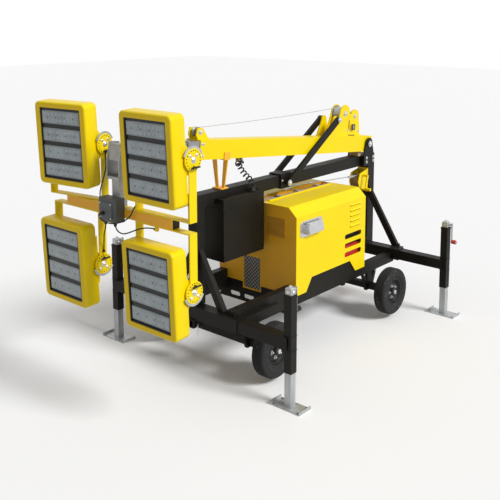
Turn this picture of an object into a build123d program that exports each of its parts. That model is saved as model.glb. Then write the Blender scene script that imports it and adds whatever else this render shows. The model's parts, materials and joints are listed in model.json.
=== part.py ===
import os
from math import atan2, cos, degrees, hypot, pi, radians, sin, tan
from build123d import *

os.makedirs("parts", exist_ok=True)

# Frame: X forward to the lamps, Y to the machine's left, Z up, floor at z = 0, millimetres.
# Tags: f front, r rear, then l left (+Y), r right (-Y). Rows of lamps: u upper, l lower.

# Running clearances
seat = 0.3
pad_gap = 0.3
slide_gap = 0.4

# Flats on small round bosses
boss_flats = 12

# Jacks and outriggers
jack_x = {"f": 728.0, "r": -1339.0}
jack_y = 830.0
jack_tube = 58.0
jack_z0 = 229.0
jack_z1 = 738.0
cap_side = 48.0
cap_h = 46.0
crank_reach = 58.0
crank_drop = 138.0
leg_side = 50.0
leg_wall = 4.0
leg_top = 500.0
foot_x = 120.0
foot_y = 240.0
foot_t = 6.0
foot_lip = 22.0
arm_side = 80.0
arm_wall = 5.0
arm_in_y = 310.0
cross_wall = 5.6
cross_half = 420.0
cross_z = 425.0
cross_side = arm_side + 2 * slide_gap + 2 * cross_wall

# Wheels
wheel_x = {"f": 517.0, "r": -989.0}
wheel_y = 530.0
wheel_z = 222.0
tyre_r = 188.0
tyre_w = 98.0
rim_r = 102.0
rim_w = 66.0
hub_r = 42.0
stub_r = 14.0
axle_side = 50.0

# Frame
rail_y = 320.0
rail_w = 60.0
rail_z0 = 350.0
rail_z1 = 430.0
front_rail_h = 70.0
stay_w = 35.0
post_side = 100.0
beam_w = 90.0
beam_z0 = 1155.0
beam_z1 = 1245.0
beam_x1 = 750.0
front_post_x = 710.0
front_post_side = 80.0
brace_w = 55.0
receiver_side = 76.0
receiver_bore = 60.0
receiver_h = 60.0
receiver_len = 188.0
pin_hole_r = 8.0

# Skid and canopy
can_x0 = -833.0
can_x1 = 78.0
can_y = 377.0
can_z0 = 431.0
can_zs = 1013.0
can_zt = 1080.0
can_yf = 305.0
can_yi = 62.0
sheet = 3.0
door_clear = 7.0
skid_t = 4.0
skid_z0 = 366.0
apron_z0 = 278.0
cut_z = 530.0
cut_front = (-45.0, -115.0)
cut_rear = (-700.0, -620.0)
grille_y = -43.0
grille_w = 160.0
grille_z = 520.0
grille_h = 250.0
grille_rim = 12.0
latch_x = -99.0
latch_z = 915.0
latch_w = 270.0
latch_h = 120.0

# Cable box and engine
box_x0 = 144.0
box_x1 = 576.0
box_y = 128.0
box_z0 = 754.0
box_z1 = 1196.0
box_wall = 4.0
engine_x0 = -770.0
engine_x1 = -90.0
engine_y = 230.0
engine_z1 = 915.0

# Mast
post_x = jack_x["r"] - cross_side / 2 - post_side / 2 + 5
piv_x = jack_x["r"]
piv_z = 1345.0
mast_deg = 5.87
outer_s = 134.0
outer_wall = 5.0
mid_wall = 4.0
inner_wall = 4.0
tail = 58.0
outer_len = 2086.0
mid_out = 109.0
mid_a0 = 45.0
inner_a0 = 60.0
inner_end = 2767.0
collar = 40.0
pin_r = 15.0
cheek_r = 52.0
cheek_t = 10.0
mid_s = outer_s - 2 * outer_wall - 2 * 3
inner_s = mid_s - 2 * mid_wall - 2 * 4
cheek_y = outer_s / 2 + 7

# Tilting linkage, in the mast's own frame and on the beam
strut_a = 510.0
strut_h = 208.0
carr_x = -202.0
carr_z = 1187.0
carr_len = 120.0
strut_y = 74.0
strut_t = 24.0
strut_w = 40.0
strut_pin_r = 9.0

# Winches, in the mast's own frame and on the rear post
drum_a = 355.0
drum_up = 255.0
drum_r = 75.0
gear_a = 205.0
gear_up = 235.0
gear_r = 60.0
winch_a0 = 100.0
winch_a1 = 505.0
winch_y = 48.0
winch_t = 8.0
socket_a = 241.0
socket_up = 144.0
tilt_winch_z = 1018.0
tilt_winch_r = 55.0

# Mast head and lamps
bar_x = 1377.0
bar_z = 1259.0
bar_side = 60.0
bar_wall = 4.0
bar_half = 496.0
head_w = 100.0
jbox_depth = 80.0
jbox_half = 79.0
jbox_z0 = 1205.0
jbox_z1 = 1352.0
lamp_y = 406.0
lamp_z = {"u": 1652.0, "l": 884.0}
lamp_w = 438.0
lamp_h = 536.0
lamp_face = 143.0
lamp_back = 35.0
lamp_tilt = -3.0
lamp_corner = 34.0
bezel_t = 20.0
win_w = 366.0
win_h = 476.0
led_t = 10.0
heat_w = 300.0
heat_h = 330.0
heat_d = 30.0
yoke_y = 231.0
yoke_t = 8.0
yoke_w = 58.0
yoke_disc = 62.0


def save(part, label):
    part.label = label
    export_step(part, f"parts/{label}.step")


def span(a, b):
    return (min(a, b), max(a, b))


def mast_point(along, up):
    t = radians(mast_deg)
    return (piv_x + along * cos(t) - up * sin(t), piv_z + along * sin(t) + up * cos(t))


def mast_plane(y=0.0, along=0.0, up=0.0):
    x, z = mast_point(along, up)
    t = radians(mast_deg)
    return Plane(origin=(x, y, z), x_dir=(cos(t), 0, sin(t)), z_dir=(0, -1, 0))


def mast_cross(along):
    x, z = mast_point(along, 0)
    t = radians(mast_deg)
    return Plane(origin=(x, 0, z), x_dir=(0, 1, 0), z_dir=(cos(t), 0, sin(t)))


def side_plane(y, x=0.0, z=0.0):
    return Plane(origin=(x, y, z), x_dir=(1, 0, 0), z_dir=(0, -1, 0))


def front_plane(x, y=0.0, z=0.0):
    return Plane(origin=(x, y, z), x_dir=(0, 1, 0), z_dir=(1, 0, 0))


def slab(x0, x1, y0, y1, z0, z1, mode=Mode.ADD):
    with BuildSketch(Plane.XY.offset(z0)) as sk:
        with Locations(((x0 + x1) / 2, (y0 + y1) / 2)):
            Rectangle(x1 - x0, abs(y1 - y0))
    extrude(sk.sketch, amount=z1 - z0, mode=mode)


def column(x, y, side, z0, z1, mode=Mode.ADD):
    # Square upright about a point
    half = side / 2
    slab(x - half, x + half, y - half, y + half, z0, z1, mode=mode)


def disc_y(x, y0, y1, z, r, sides=0, mode=Mode.ADD):
    # Round bar or bore along Y, or a boss with flats
    with BuildSketch(side_plane(max(y0, y1), x, z)) as sk:
        if sides:
            RegularPolygon(r, sides)
        else:
            Circle(r)
    extrude(sk.sketch, amount=abs(y1 - y0), mode=mode)


def plate_y(points, y0, y1, mode=Mode.ADD):
    # Plate with an outline in an XZ plane, between two widths
    with BuildSketch(side_plane(max(y0, y1))) as sk:
        with BuildLine():
            Polyline(*points, close=True)
        make_face()
    extrude(sk.sketch, amount=abs(y1 - y0), mode=mode)


def plate_x(points, x0, x1, mode=Mode.ADD):
    # Plate with an outline in a YZ plane, between two stations
    with BuildSketch(front_plane(x0)) as sk:
        with BuildLine():
            Polyline(*points, close=True)
        make_face()
    extrude(sk.sketch, amount=x1 - x0, mode=mode)


def link_y(p, q, w, y0, y1, mode=Mode.ADD):
    # Flat link in an XZ plane from p to q, with an eye at each end
    ang = degrees(atan2(q[1] - p[1], q[0] - p[0]))
    length = hypot(q[0] - p[0], q[1] - p[1])
    with BuildSketch(side_plane(max(y0, y1), (p[0] + q[0]) / 2, (p[1] + q[1]) / 2)) as sk:
        Rectangle(length, w, rotation=ang)
    extrude(sk.sketch, amount=abs(y1 - y0), mode=mode)
    for x, z in (p, q):
        disc_y(x, y0, y1, z, w / 2, sides=boss_flats, mode=mode)


def brace_x(p, q, w, x0, x1, mode=Mode.ADD):
    # Straight brace in a YZ plane from p to q
    ang = degrees(atan2(q[1] - p[1], q[0] - p[0]))
    length = hypot(q[0] - p[0], q[1] - p[1])
    with BuildSketch(front_plane(x0, (p[0] + q[0]) / 2, (p[1] + q[1]) / 2)) as sk:
        Rectangle(length, w, rotation=ang)
    extrude(sk.sketch, amount=x1 - x0, mode=mode)


def box_tube_y(x, z, y0, y1, side, wall):
    # Square tube along Y
    with BuildSketch(side_plane(max(y0, y1), x, z)) as sk:
        Rectangle(side, side)
        Rectangle(side - 2 * wall, side - 2 * wall, mode=Mode.SUBTRACT)
    extrude(sk.sketch, amount=abs(y1 - y0))


# Chassis: crossmember tubes, rails, side stays and axles on their saddles
cross_bore = arm_side + 2 * slide_gap
cross_top = cross_z + cross_side / 2
cross_bottom = cross_z - cross_side / 2
saddle_top = 110.0
saddle_foot = 45.0
axle_half = wheel_y - tyre_w / 2 - 4
stay_x0 = {"rear": 330.0, "front": jack_x["f"] - cross_side / 2 + 2}
with BuildPart() as chassis:
    for xc in jack_x.values():
        slab(xc - cross_side / 2, xc + cross_side / 2, -cross_half, cross_half, cross_bottom, cross_top)
    for s in (-1, 1):
        y0, y1 = span(s * (rail_y - rail_w / 2), s * (rail_y + rail_w / 2))
        slab(jack_x["r"], jack_x["f"], y0, y1, rail_z0, rail_z1)
        slab(can_x1 + skid_t + seat, jack_x["f"], y0, y1, rail_z1 - 2, rail_z1 + front_rail_h)
        slab(stay_x0["rear"], stay_x0["front"], *span(s * (cross_half - stay_w), s * cross_half), 395, 465)
        plate_stay = [(290, s * (rail_y + 10)), (340, s * (rail_y + 10)),
                      (370, s * cross_half), (332, s * cross_half)]
        with BuildSketch(Plane.XY.offset(395)):
            with BuildLine():
                Polyline(*plate_stay, close=True)
            make_face()
        extrude(amount=35)
    for xc in wheel_x.values():
        half = axle_side / 2
        slab(xc - half, xc + half, -axle_half, axle_half, wheel_z - half, wheel_z + half)
        for s in (-1, 1):
            saddle = [(xc - saddle_foot, wheel_z - half - 8), (xc + saddle_foot, wheel_z - half - 8),
                      (xc + saddle_top, rail_z0 + 5), (xc - saddle_top, rail_z0 + 5)]
            plate_y(saddle, s * (rail_y - 12), s * (rail_y + 12))
            for t in (-1, 1):
                hole = [(xc + t * 34, rail_z0 - 14), (xc + t * 34, wheel_z + 42),
                        (xc + t * 72, rail_z0 - 14)]
                plate_y(hole, s * (rail_y - 13), s * (rail_y + 13), mode=Mode.SUBTRACT)
            disc_y(xc, s * (axle_half - 2), s * (wheel_y + 50), wheel_z, stub_r)
    for xc in jack_x.values():
        slab(xc - cross_bore / 2, xc + cross_bore / 2, -cross_half - 1, cross_half + 1,
             cross_z - cross_bore / 2, cross_z + cross_bore / 2, mode=Mode.SUBTRACT)
save(chassis.part, "chassis")

# Skid: tray on the rails, side plates that rise behind the doors' cut-outs, slotted front apron
skid_y = can_y - sheet - door_clear
slot_pitch = 140.0
# Start, end and underside of the side plates' feet
skid_feet = ((45.0, can_x1 + skid_t, 320.0), (-576.0, -536.0, 345.0))
with BuildPart() as skid:
    slab(can_x0, can_x1, -skid_y, skid_y, skid_z0, can_z0 - seat)
    slab(can_x0 + skid_t, can_x1 - skid_t, -skid_y + skid_t, skid_y - skid_t, skid_z0 + skid_t, can_z0 + 1,
         mode=Mode.SUBTRACT)
    rise = [(can_x1 - 108, can_z0 - 20), (cut_front[1] + 10, cut_z + 12), (cut_rear[1] - 10, cut_z + 12),
            (can_x0 + 118, can_z0 - 20)]
    for s in (-1, 1):
        plate_y(rise, s * (skid_y - skid_t), s * skid_y)
        for x0, x1, z0 in skid_feet:
            slab(x0, x1, *span(s * (skid_y - 40), s * skid_y), z0, skid_z0 + 2)
    slab(can_x1 - skid_t, can_x1 + skid_t, -skid_y, skid_y, apron_z0, can_z0 - seat)
    notch = grille_w / 2 + grille_rim + seat
    slab(can_x1 - 12, can_x1 + skid_t + 1, grille_y - notch, grille_y + notch,
         grille_z - grille_h / 2 - grille_rim - seat, can_z0, mode=Mode.SUBTRACT)
    with BuildSketch(front_plane(can_x1 - 20)) as slots:
        for i in range(-1, 3):
            with Locations(((i - 0.5) * slot_pitch, apron_z0 + 42)):
                Rectangle(100, 34)
        chamfer(slots.vertices(), 10)
    extrude(amount=40, mode=Mode.SUBTRACT)
    for s in (-1, 1):
        y0, y1 = span(s * (rail_y - rail_w / 2 - seat), s * (rail_y + rail_w / 2 + seat))
        slab(can_x0 - 1, can_x1 + 20, y0, y1, rail_z0 - seat, rail_z1 + seat, mode=Mode.SUBTRACT)
save(skid.part, "skid")

# Mast frame: rear post with the mast's clevis, spine beam, front post and lateral braces
cheek_out = cheek_y + cheek_t
rear_face = jack_x["r"] - cross_side / 2
post_z0 = cross_top
with BuildPart() as mast_frame:
    column(post_x, 0, post_side, post_z0, beam_z1)
    slab(post_x - post_side / 2, rear_face, -post_side / 2, post_side / 2, cross_bottom, post_z0 + 1)
    slab(post_x, jack_x["r"] + cross_side / 2, -post_side / 2, post_side / 2, post_z0, post_z0 + 30)
    slab(post_x, beam_x1, -beam_w / 2, beam_w / 2, beam_z0, beam_z1)
    slab(post_x + 15, piv_x + 80, -cheek_y, cheek_y, beam_z0, beam_z1)
    for s in (-1, 1):
        cheek_foot = [(post_x + 15, beam_z0), (piv_x + 80, beam_z0), (piv_x + 80, beam_z1),
                      (piv_x + cheek_r, piv_z), (piv_x - cheek_r, piv_z), (post_x + 15, beam_z1)]
        plate_y(cheek_foot, s * cheek_y, s * cheek_out)
        disc_y(piv_x, s * cheek_y, s * cheek_out, piv_z, cheek_r)
    disc_y(piv_x, -cheek_out - 8, cheek_out + 8, piv_z, pin_r)
    column(front_post_x, 0, front_post_side, post_z0, beam_z0 + 1)
    for s in (-1, 1):
        brace_x((s * 30, 960), (s * 345, post_z0 - 20), brace_w, rear_face - 30, rear_face)
        slab(rear_face - 30, rear_face, *span(s * 300, s * 400), cross_bottom + 6, post_z0)
        brace_x((s * 20, 850), (s * 255, post_z0 - 25), brace_w - 5, front_post_x - 20, front_post_x + 20)
    slab(front_post_x - 25, front_post_x + 25, -cross_half, cross_half, 300, post_z0, mode=Mode.SUBTRACT)
save(mast_frame.part, "mast_frame")

# Tow receiver under the front crossmember, with the lock pin's hole through it
rec_x1 = jack_x["f"] + cross_side / 2 + 14
rec_z0 = cross_bottom - receiver_h
with BuildPart() as tow_receiver:
    slab(rec_x1 - receiver_len, rec_x1, -receiver_side / 2, receiver_side / 2, rec_z0, cross_bottom - seat)
    slab(rec_x1 - receiver_len - 1, rec_x1 + 1, -receiver_bore / 2, receiver_bore / 2,
         rec_z0 + 8, rec_z0 + 52, mode=Mode.SUBTRACT)
    disc_y(rec_x1 - 35, -receiver_side, receiver_side, rec_z0 + 30, pin_hole_r, mode=Mode.SUBTRACT)
save(tow_receiver.part, "tow_receiver")

# Cable box hung under the spine beam, notched for it
with BuildPart() as cable_box:
    slab(box_x0, box_x1, -box_y, box_y, box_z0, box_z1)
    slab(box_x0 + box_wall, box_x1 - box_wall, -box_y + box_wall, box_y - box_wall,
         box_z0 + box_wall, beam_z0 - seat - box_wall, mode=Mode.SUBTRACT)
    slab(box_x0 - 1, box_x1 + 1, -beam_w / 2 - seat, beam_w / 2 + seat, beam_z0 - seat, box_z1 + 1,
         mode=Mode.SUBTRACT)
save(cable_box.part, "cable_box")

# Canopy: end walls, roof trough and the grille's frame; the doors close its sides and slopes
wall_half = can_y - sheet - 0.6


def end_wall_outline(z0):
    shoulder = can_yf - 0.4 * (sheet + 0.6)
    edge = [(wall_half, z0), (wall_half, can_zs - 1.5), (shoulder, can_zt - sheet - 0.6)]
    return edge + [(-y, z) for y, z in reversed(edge)]


with BuildPart() as canopy:
    plate_x(end_wall_outline(can_z0), can_x0, can_x0 + sheet)
    plate_x(end_wall_outline(can_z0), can_x1 - sheet, can_x1)
    with BuildSketch(front_plane(can_x1 - 2 * sheet, grille_y, grille_z)):
        Rectangle(grille_w + 2 * grille_rim, grille_h + 2 * grille_rim)
    extrude(amount=2 * sheet)
    with BuildSketch(front_plane(can_x1 - 20, grille_y, grille_z)):
        Rectangle(grille_w, grille_h)
    extrude(amount=40, mode=Mode.SUBTRACT)
    slab(can_x0, can_x1, -can_yi, can_yi, can_zt - 40, can_zt - 40 + sheet)
    for s in (-1, 1):
        slab(can_x0, can_x1, *span(s * (can_yi - sheet), s * can_yi), can_zt - 40, can_zt + 2)
save(canopy.part, "canopy")

with BuildPart() as front_grille:
    with BuildSketch(front_plane(can_x1 - 2 * sheet, grille_y, grille_z)):
        Rectangle(grille_w - 2 * seat, grille_h - 2 * seat)
    extrude(amount=sheet)
save(front_grille.part, "front_grille")

with BuildPart() as engine_block:
    slab(engine_x0, engine_x1, -engine_y, engine_y, skid_z0 + skid_t + seat, engine_z1)
save(engine_block.part, "engine_block")

# Gull-wing doors with their louvres and slots, and the paddle latches
louvre_x = (-760.0, -615.0)
louvre_h = 12.0
louvre_top = 974.0
louvre_pitch = 42.0
slot_x = (-775.0, -545.0)
slot_h = 38.0
slot_top = 736.0
slot_drop = 72.0
hinge_h = 8.0
for tag, s in (("left", 1), ("right", -1)):
    yh = can_yi + 1.0
    skin = [(yh, can_zt), (can_yf, can_zt), (can_y, can_zs), (can_y, can_z0), (can_y - sheet, can_z0),
            (can_y - sheet, can_zs - sheet / 2), (can_yf - sheet / 2, can_zt - sheet), (yh, can_zt - sheet)]
    y0, y1 = span(s * (can_y - 2 * sheet), s * (can_y + 1))
    with BuildPart() as door:
        plate_x([(s * y, z) for y, z in skin], can_x0, can_x1)
        slab(can_x0 + 60, can_x1 - 60, *span(s * yh, s * (yh + 16)), can_zt - 1, can_zt + hinge_h)
        plate_y([(cut_front[0], can_z0 - 1), (cut_front[1], cut_z),
                 (cut_rear[1], cut_z), (cut_rear[0], can_z0 - 1)], y0, y1, mode=Mode.SUBTRACT)
        for i in range(5):
            z = louvre_top - i * louvre_pitch
            slab(*louvre_x, y0, y1, z - louvre_h / 2, z + louvre_h / 2, mode=Mode.SUBTRACT)
        with BuildSketch(side_plane(y1)) as slots:
            for i in range(3):
                with Locations(((slot_x[0] + slot_x[1]) / 2, slot_top - i * slot_drop)):
                    Rectangle(slot_x[1] - slot_x[0], slot_h)
            chamfer(slots.vertices(), slot_h / 4)
        extrude(amount=y1 - y0, mode=Mode.SUBTRACT)
    save(door.part, f"door_{tag}")
    with BuildPart() as latch:
        outward = Plane(origin=(latch_x, s * can_y, latch_z), x_dir=(1, 0, 0), z_dir=(0, s, 0))
        for w, h, depth in ((latch_w, latch_h, 4), (latch_w * 0.72, latch_h * 0.55, 12)):
            with BuildSketch(outward) as sk:
                Rectangle(w, h)
                chamfer(sk.vertices(), h / 6)
            extrude(amount=depth)
    save(latch.part, f"latch_{tag}")

# Outrigger arm with the jack's outer tube, its cap and crank, and the leg with its foot plate
leg_bore = leg_side + 2 * slide_gap
crank_dir = {"fl": (-1, 0), "fr": (-1, 0), "rl": (0, 1), "rr": (0, -1)}
for end, xc in jack_x.items():
    for side, s in (("l", 1), ("r", -1)):
        tag = end + side
        yc = s * jack_y
        with BuildPart() as arm:
            box_tube_y(xc, cross_z, s * arm_in_y, s * jack_y, arm_side, arm_wall)
            column(xc, yc, jack_tube, jack_z0, jack_z1)
            end_y = yc - s * jack_tube / 2
            slab(xc - arm_side / 2, xc + arm_side / 2, *span(end_y, end_y - s * 6),
                 cross_z - arm_side / 2, cross_z + arm_side / 2)
            column(xc, yc, leg_bore, jack_z0 - 1, jack_z1 - 4, mode=Mode.SUBTRACT)
        save(arm.part, f"arm_{tag}")

        # The crank's shaft leaves the cap sideways; its lever hangs down beside the tube
        ux, uy = crank_dir[tag]
        out = Plane(origin=(xc, yc, jack_z1 + cap_h / 2), x_dir=(-uy, ux, 0), z_dir=(ux, uy, 0))
        with BuildPart() as crank:
            column(xc, yc, cap_side, jack_z1, jack_z1 + cap_h)
            chamfer(crank.faces().sort_by(Axis.Z)[-1].edges(), 6)
            with BuildSketch(out):
                RegularPolygon(9, 6)
            extrude(amount=crank_reach)
            with BuildSketch(out.offset(crank_reach - 6)):
                with Locations((0, -crank_drop / 2 + 8)):
                    Rectangle(18, crank_drop + 16)
            extrude(amount=6)
            with BuildSketch(out.offset(crank_reach - 6)):
                with Locations((0, -crank_drop)):
                    RegularPolygon(14, 10)
            extrude(amount=44)
        save(crank.part, f"jack_crank_{tag}")
        with BuildPart() as leg:
            column(xc, yc, leg_side, foot_t, leg_top)
            column(xc, yc, leg_side - 2 * leg_wall, foot_t + 40, leg_top + 1, mode=Mode.SUBTRACT)
            slab(xc - foot_x / 2, xc + foot_x / 2, yc - foot_y / 2, yc + foot_y / 2, 0, foot_t)
            for t in (-1, 1):
                ye = yc + t * foot_y / 2
                slab(xc - foot_x / 2, xc + foot_x / 2, *span(ye, ye - t * 5), 0, foot_lip)
        save(leg.part, f"leg_{tag}")

# Wheels, in flat-sided rings, so that the tyre seats on the rim's own flats
flats = 24
hub_flats = 12
hub_gap = 0.3
hub_half = 44.0
flange = 9.0
flange_t = 4.0
disc_t = 8.0
bead = rim_w / 2
crown_cuts = ((5.0, 32.0), (18.0, 9.0))


def ring(y0, y1, radius, sides=flats, mode=Mode.ADD):
    # Prism along the axle
    with BuildSketch(Plane.XZ.offset(-y1)) as sk:
        RegularPolygon(radius, sides)
    extrude(sk.sketch, amount=y1 - y0, mode=mode)


with BuildPart() as tyre_form:
    half = tyre_w / 2
    ring(-half, half, tyre_r)
    for y0, y1 in ((-half - 1, -bead), (bead, half + 1)):
        ring(y0, y1, rim_r + flange, mode=Mode.SUBTRACT)
    ring(-half - 1, half + 1, rim_r, mode=Mode.SUBTRACT)
    for end in (0, -1):
        for radial, axial in crown_cuts:
            wall = tyre_form.faces().sort_by(Axis.Y)[end]
            chamfer(wall.outer_wire().edges(), radial, axial, reference=wall)
        wall = tyre_form.faces().sort_by(Axis.Y)[end]
        chamfer(wall.inner_wires()[0].edges(), 30, half - bead - 4, reference=wall)

with BuildPart() as rim_form:
    ring(-bead, bead, rim_r)
    for y0, y1 in ((-bead - flange_t, -bead), (bead, bead + flange_t)):
        ring(y0, y1, rim_r + flange)
    for y0, y1 in ((-bead - flange_t - 1, -disc_t / 2), (disc_t / 2, bead + flange_t + 1)):
        ring(y0, y1, rim_r - 5, sides=hub_flats, mode=Mode.SUBTRACT)
    ring(-hub_half, hub_half, hub_r, sides=hub_flats)
    disc_y(0, -hub_half - 1, hub_half + 1, 0, stub_r + hub_gap, mode=Mode.SUBTRACT)

for end, xc in wheel_x.items():
    for side, s in (("l", 1), ("r", -1)):
        for form, kind in ((tyre_form, "tyre"), (rim_form, "rim")):
            with BuildPart() as wheel_piece:
                with Locations((xc, s * wheel_y, wheel_z)):
                    add(form.part)
            save(wheel_piece.part, f"{kind}_{end}{side}")


# Mast sections
def tube(start, length, side, wall):
    with BuildSketch(mast_cross(start)) as sk:
        Rectangle(side, side)
        Rectangle(side - 2 * wall, side - 2 * wall, mode=Mode.SUBTRACT)
    extrude(sk.sketch, amount=length)


def sleeve(start, length, side, bore_side):
    tube(start, length, side, (side - bore_side) / 2)


def mast_plate(points, y0, y1, mode=Mode.ADD):
    # Plate with an outline in the mast's own side view
    with BuildSketch(mast_plane(max(y0, y1))) as sk:
        with BuildLine():
            Polyline(*points, close=True)
        make_face()
    extrude(sk.sketch, amount=abs(y1 - y0), mode=mode)


def mast_disc(a, u, r, y0, y1, sides=0, mode=Mode.ADD):
    with BuildSketch(mast_plane(max(y0, y1), a, u)) as sk:
        if sides:
            RegularPolygon(r, sides)
        else:
            Circle(r)
    extrude(sk.sketch, amount=abs(y1 - y0), mode=mode)


half_o = outer_s / 2
bracket_y = 50.0
bracket_t = 10.0
ear_y = 32.0
ear_t = 8.0
with BuildPart() as mast_outer:
    tube(-tail, outer_len + tail, outer_s, outer_wall)
    sleeve(outer_len - collar, collar, outer_s - 2, mid_s + 2 * pad_gap)
    mast_disc(0, 0, pin_r + 12, -cheek_y + 0.5, cheek_y - 0.5, sides=boss_flats)
    mast_disc(0, 0, pin_r + 0.1, -cheek_y, cheek_y, mode=Mode.SUBTRACT)
    for s in (-1, 1):
        y0, y1 = s * bracket_y, s * (bracket_y + bracket_t)
        mast_plate([(strut_a - 90, half_o - 1), (strut_a + 90, half_o - 1), (strut_a + 28, strut_h),
                    (strut_a - 28, strut_h)], y0, y1)
        mast_disc(strut_a, strut_h, 28, y0, y1, sides=boss_flats)
        mast_disc(strut_a, strut_h, 20, y0, s * (strut_y - slide_gap), sides=boss_flats)
        mast_disc(strut_a, strut_h, strut_pin_r, y0, s * (strut_y + strut_t + 6))
        mast_plate([(outer_len - 110, half_o - 1), (outer_len, half_o - 1), (outer_len + 20, half_o + 30),
                    (outer_len + 10, half_o + 80), (outer_len - 40, half_o + 80)],
                   s * ear_y, s * (ear_y + ear_t))
    mast_plate([(outer_len - 40, half_o - 1), (outer_len - 20, half_o - 1), (outer_len - 20, half_o + 30),
                (outer_len - 40, half_o + 30)], -ear_y - 1, ear_y + 1)
save(mast_outer.part, "mast_outer")

outer_bore = outer_s - 2 * outer_wall
mid_bore = mid_s - 2 * mid_wall
with BuildPart() as mast_mid:
    tube(mid_a0, outer_len + mid_out - mid_a0, mid_s, mid_wall)
    sleeve(mid_a0 + 10, collar, outer_bore - 2 * pad_gap, mid_s - 2)
    sleeve(outer_len + mid_out - collar, collar, mid_s - 2, inner_s + 2 * pad_gap)
save(mast_mid.part, "mast_mid")

with BuildPart() as mast_inner:
    tube(inner_a0, inner_end - inner_a0, inner_s, inner_wall)
    sleeve(inner_a0 + 10, collar, mid_bore - 2 * pad_gap, inner_s - 2)
    with BuildSketch(mast_cross(inner_end - inner_wall)):
        Rectangle(inner_s - inner_wall, inner_s - inner_wall)
    extrude(amount=inner_wall)
save(mast_inner.part, "mast_inner")

# Mast winch: two lobed side plates, the rope drum between them, and a square drive socket
with BuildPart() as mast_winch:
    mast_plate([(winch_a0, half_o), (winch_a1, half_o), (winch_a1, half_o + 8), (winch_a0, half_o + 8)],
               -winch_y, winch_y)
    for s in (-1, 1):
        with BuildSketch(mast_plane(max(s * winch_y, s * (winch_y - winch_t)))):
            with Locations((drum_a, drum_up)):
                RegularPolygon(drum_r, 2 * boss_flats)
            with Locations((gear_a, gear_up)):
                RegularPolygon(gear_r, 2 * boss_flats)
            with BuildLine():
                Polyline((winch_a0 + 12, half_o + 7), (winch_a1 - 12, half_o + 7),
                         (drum_a + drum_r, drum_up), (drum_a, drum_up + 10),
                         (gear_a, gear_up + 10), (gear_a - gear_r, gear_up), close=True)
            make_face()
        extrude(amount=winch_t)
    mast_disc(drum_a, drum_up, drum_r * 0.55, -winch_y + 1, winch_y - 1, sides=boss_flats)
    mast_disc(gear_a, gear_up, gear_r * 0.4, -winch_y + 1, winch_y - 1, sides=boss_flats)
    with BuildSketch(mast_plane(winch_y + 14, socket_a, socket_up)):
        Rectangle(40, 40)
        Rectangle(22, 22, mode=Mode.SUBTRACT)
    extrude(amount=14.5)
save(mast_winch.part, "mast_winch")

# Struts, pinned to the mast's brackets and meeting the carriage's bosses
ax, az = mast_point(strut_a, strut_h)
with BuildPart() as struts:
    for s in (-1, 1):
        y0, y1 = s * strut_y, s * (strut_y + strut_t)
        link_y((ax, az), (carr_x, carr_z), strut_w + 6, y0, y1)
        disc_y(ax, y0 - s, y1 + s, az, strut_pin_r + 0.1, mode=Mode.SUBTRACT)
save(struts.part, "struts")

with BuildPart() as carriage:
    slab(carr_x - carr_len / 2, carr_x + carr_len / 2, -beam_w / 2 - 13, beam_w / 2 + 13,
         beam_z0 - 12, beam_z1 + 12)
    slab(carr_x - carr_len, carr_x + carr_len, -beam_w / 2 - pad_gap, beam_w / 2 + pad_gap,
         beam_z0 - pad_gap, beam_z1 + pad_gap, mode=Mode.SUBTRACT)
    for s in (-1, 1):
        disc_y(carr_x, s * (beam_w / 2 + 12), s * (strut_y - slide_gap), carr_z, 22, sides=boss_flats)
save(carriage.part, "carriage")

# Rest fork: two tapered legs on the beam and a cradle along the mast
fork_a = outer_len * 0.872
fork_x, fork_axis = mast_point(fork_a, 0)
cradle_t = 8.0
cradle_lip = 46.0
under = half_o + pad_gap
with BuildPart() as rest_fork:
    slab(fork_x - 35, fork_x + 35, -45, 45, beam_z1, beam_z1 + cradle_t)
    leg_top_z = fork_axis - under - 4
    for s in (-1, 1):
        plate_x([(s * 16, beam_z1 + 2), (s * 40, beam_z1 + 2), (s * 74, leg_top_z), (s * 36, leg_top_z)],
                fork_x - 5, fork_x + 5)
    with BuildSketch(mast_cross(fork_a - 30)):
        with BuildLine():
            lip_in = half_o + pad_gap
            lip_out = lip_in + cradle_t
            Polyline((-lip_out, -under - cradle_t), (lip_out, -under - cradle_t),
                     (lip_out, -under + cradle_lip), (lip_in, -under + cradle_lip),
                     (lip_in, -under), (-lip_in, -under),
                     (-lip_in, -under + cradle_lip), (-lip_out, -under + cradle_lip), close=True)
        make_face()
    extrude(amount=60)
save(rest_fork.part, "rest_fork")

# Rest pad on the beam by the pivot
pad_a = (62.0, 108.0)
with BuildPart() as mast_pads:
    low = [mast_point(a, -half_o - pad_gap) for a in pad_a]
    plate_y([(low[0][0], beam_z1), (low[1][0], beam_z1), low[1], low[0]], -45, 45)
save(mast_pads.part, "mast_pads")

# Tilt winch on the rear post's front face
with BuildPart() as tilt_winch:
    fx = post_x + post_side / 2
    drum_x = fx + 85
    slab(fx, fx + 8, -50, 50, tilt_winch_z - 105, tilt_winch_z + 105)
    for s in (-1, 1):
        plate_y([(fx + 7, tilt_winch_z - 88), (drum_x + 40, tilt_winch_z - 60), (drum_x + 65, tilt_winch_z),
                 (drum_x + 40, tilt_winch_z + 70), (fx + 7, tilt_winch_z + 95)], s * 42, s * 48)
    disc_y(drum_x, -43, 43, tilt_winch_z, tilt_winch_r, sides=boss_flats)
    with BuildSketch(side_plane(105, drum_x, tilt_winch_z + 50)):
        RegularPolygon(10, 6)
    extrude(amount=62)
    link_y((drum_x, tilt_winch_z + 50), (drum_x + 30, tilt_winch_z - 60), 20, 97, 105)
    with BuildSketch(side_plane(150, drum_x + 30, tilt_winch_z - 60)):
        RegularPolygon(13, 10)
    extrude(amount=52)
save(tilt_winch.part, "tilt_winch")

# Fittings: grab handle on the rear post, lock pins through the crossmembers' ends
grab_z = (1056.0, 1171.0)
grab_out = 52.0
grab_t = 12.0
lock_pin_y = cross_half - 26
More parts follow.
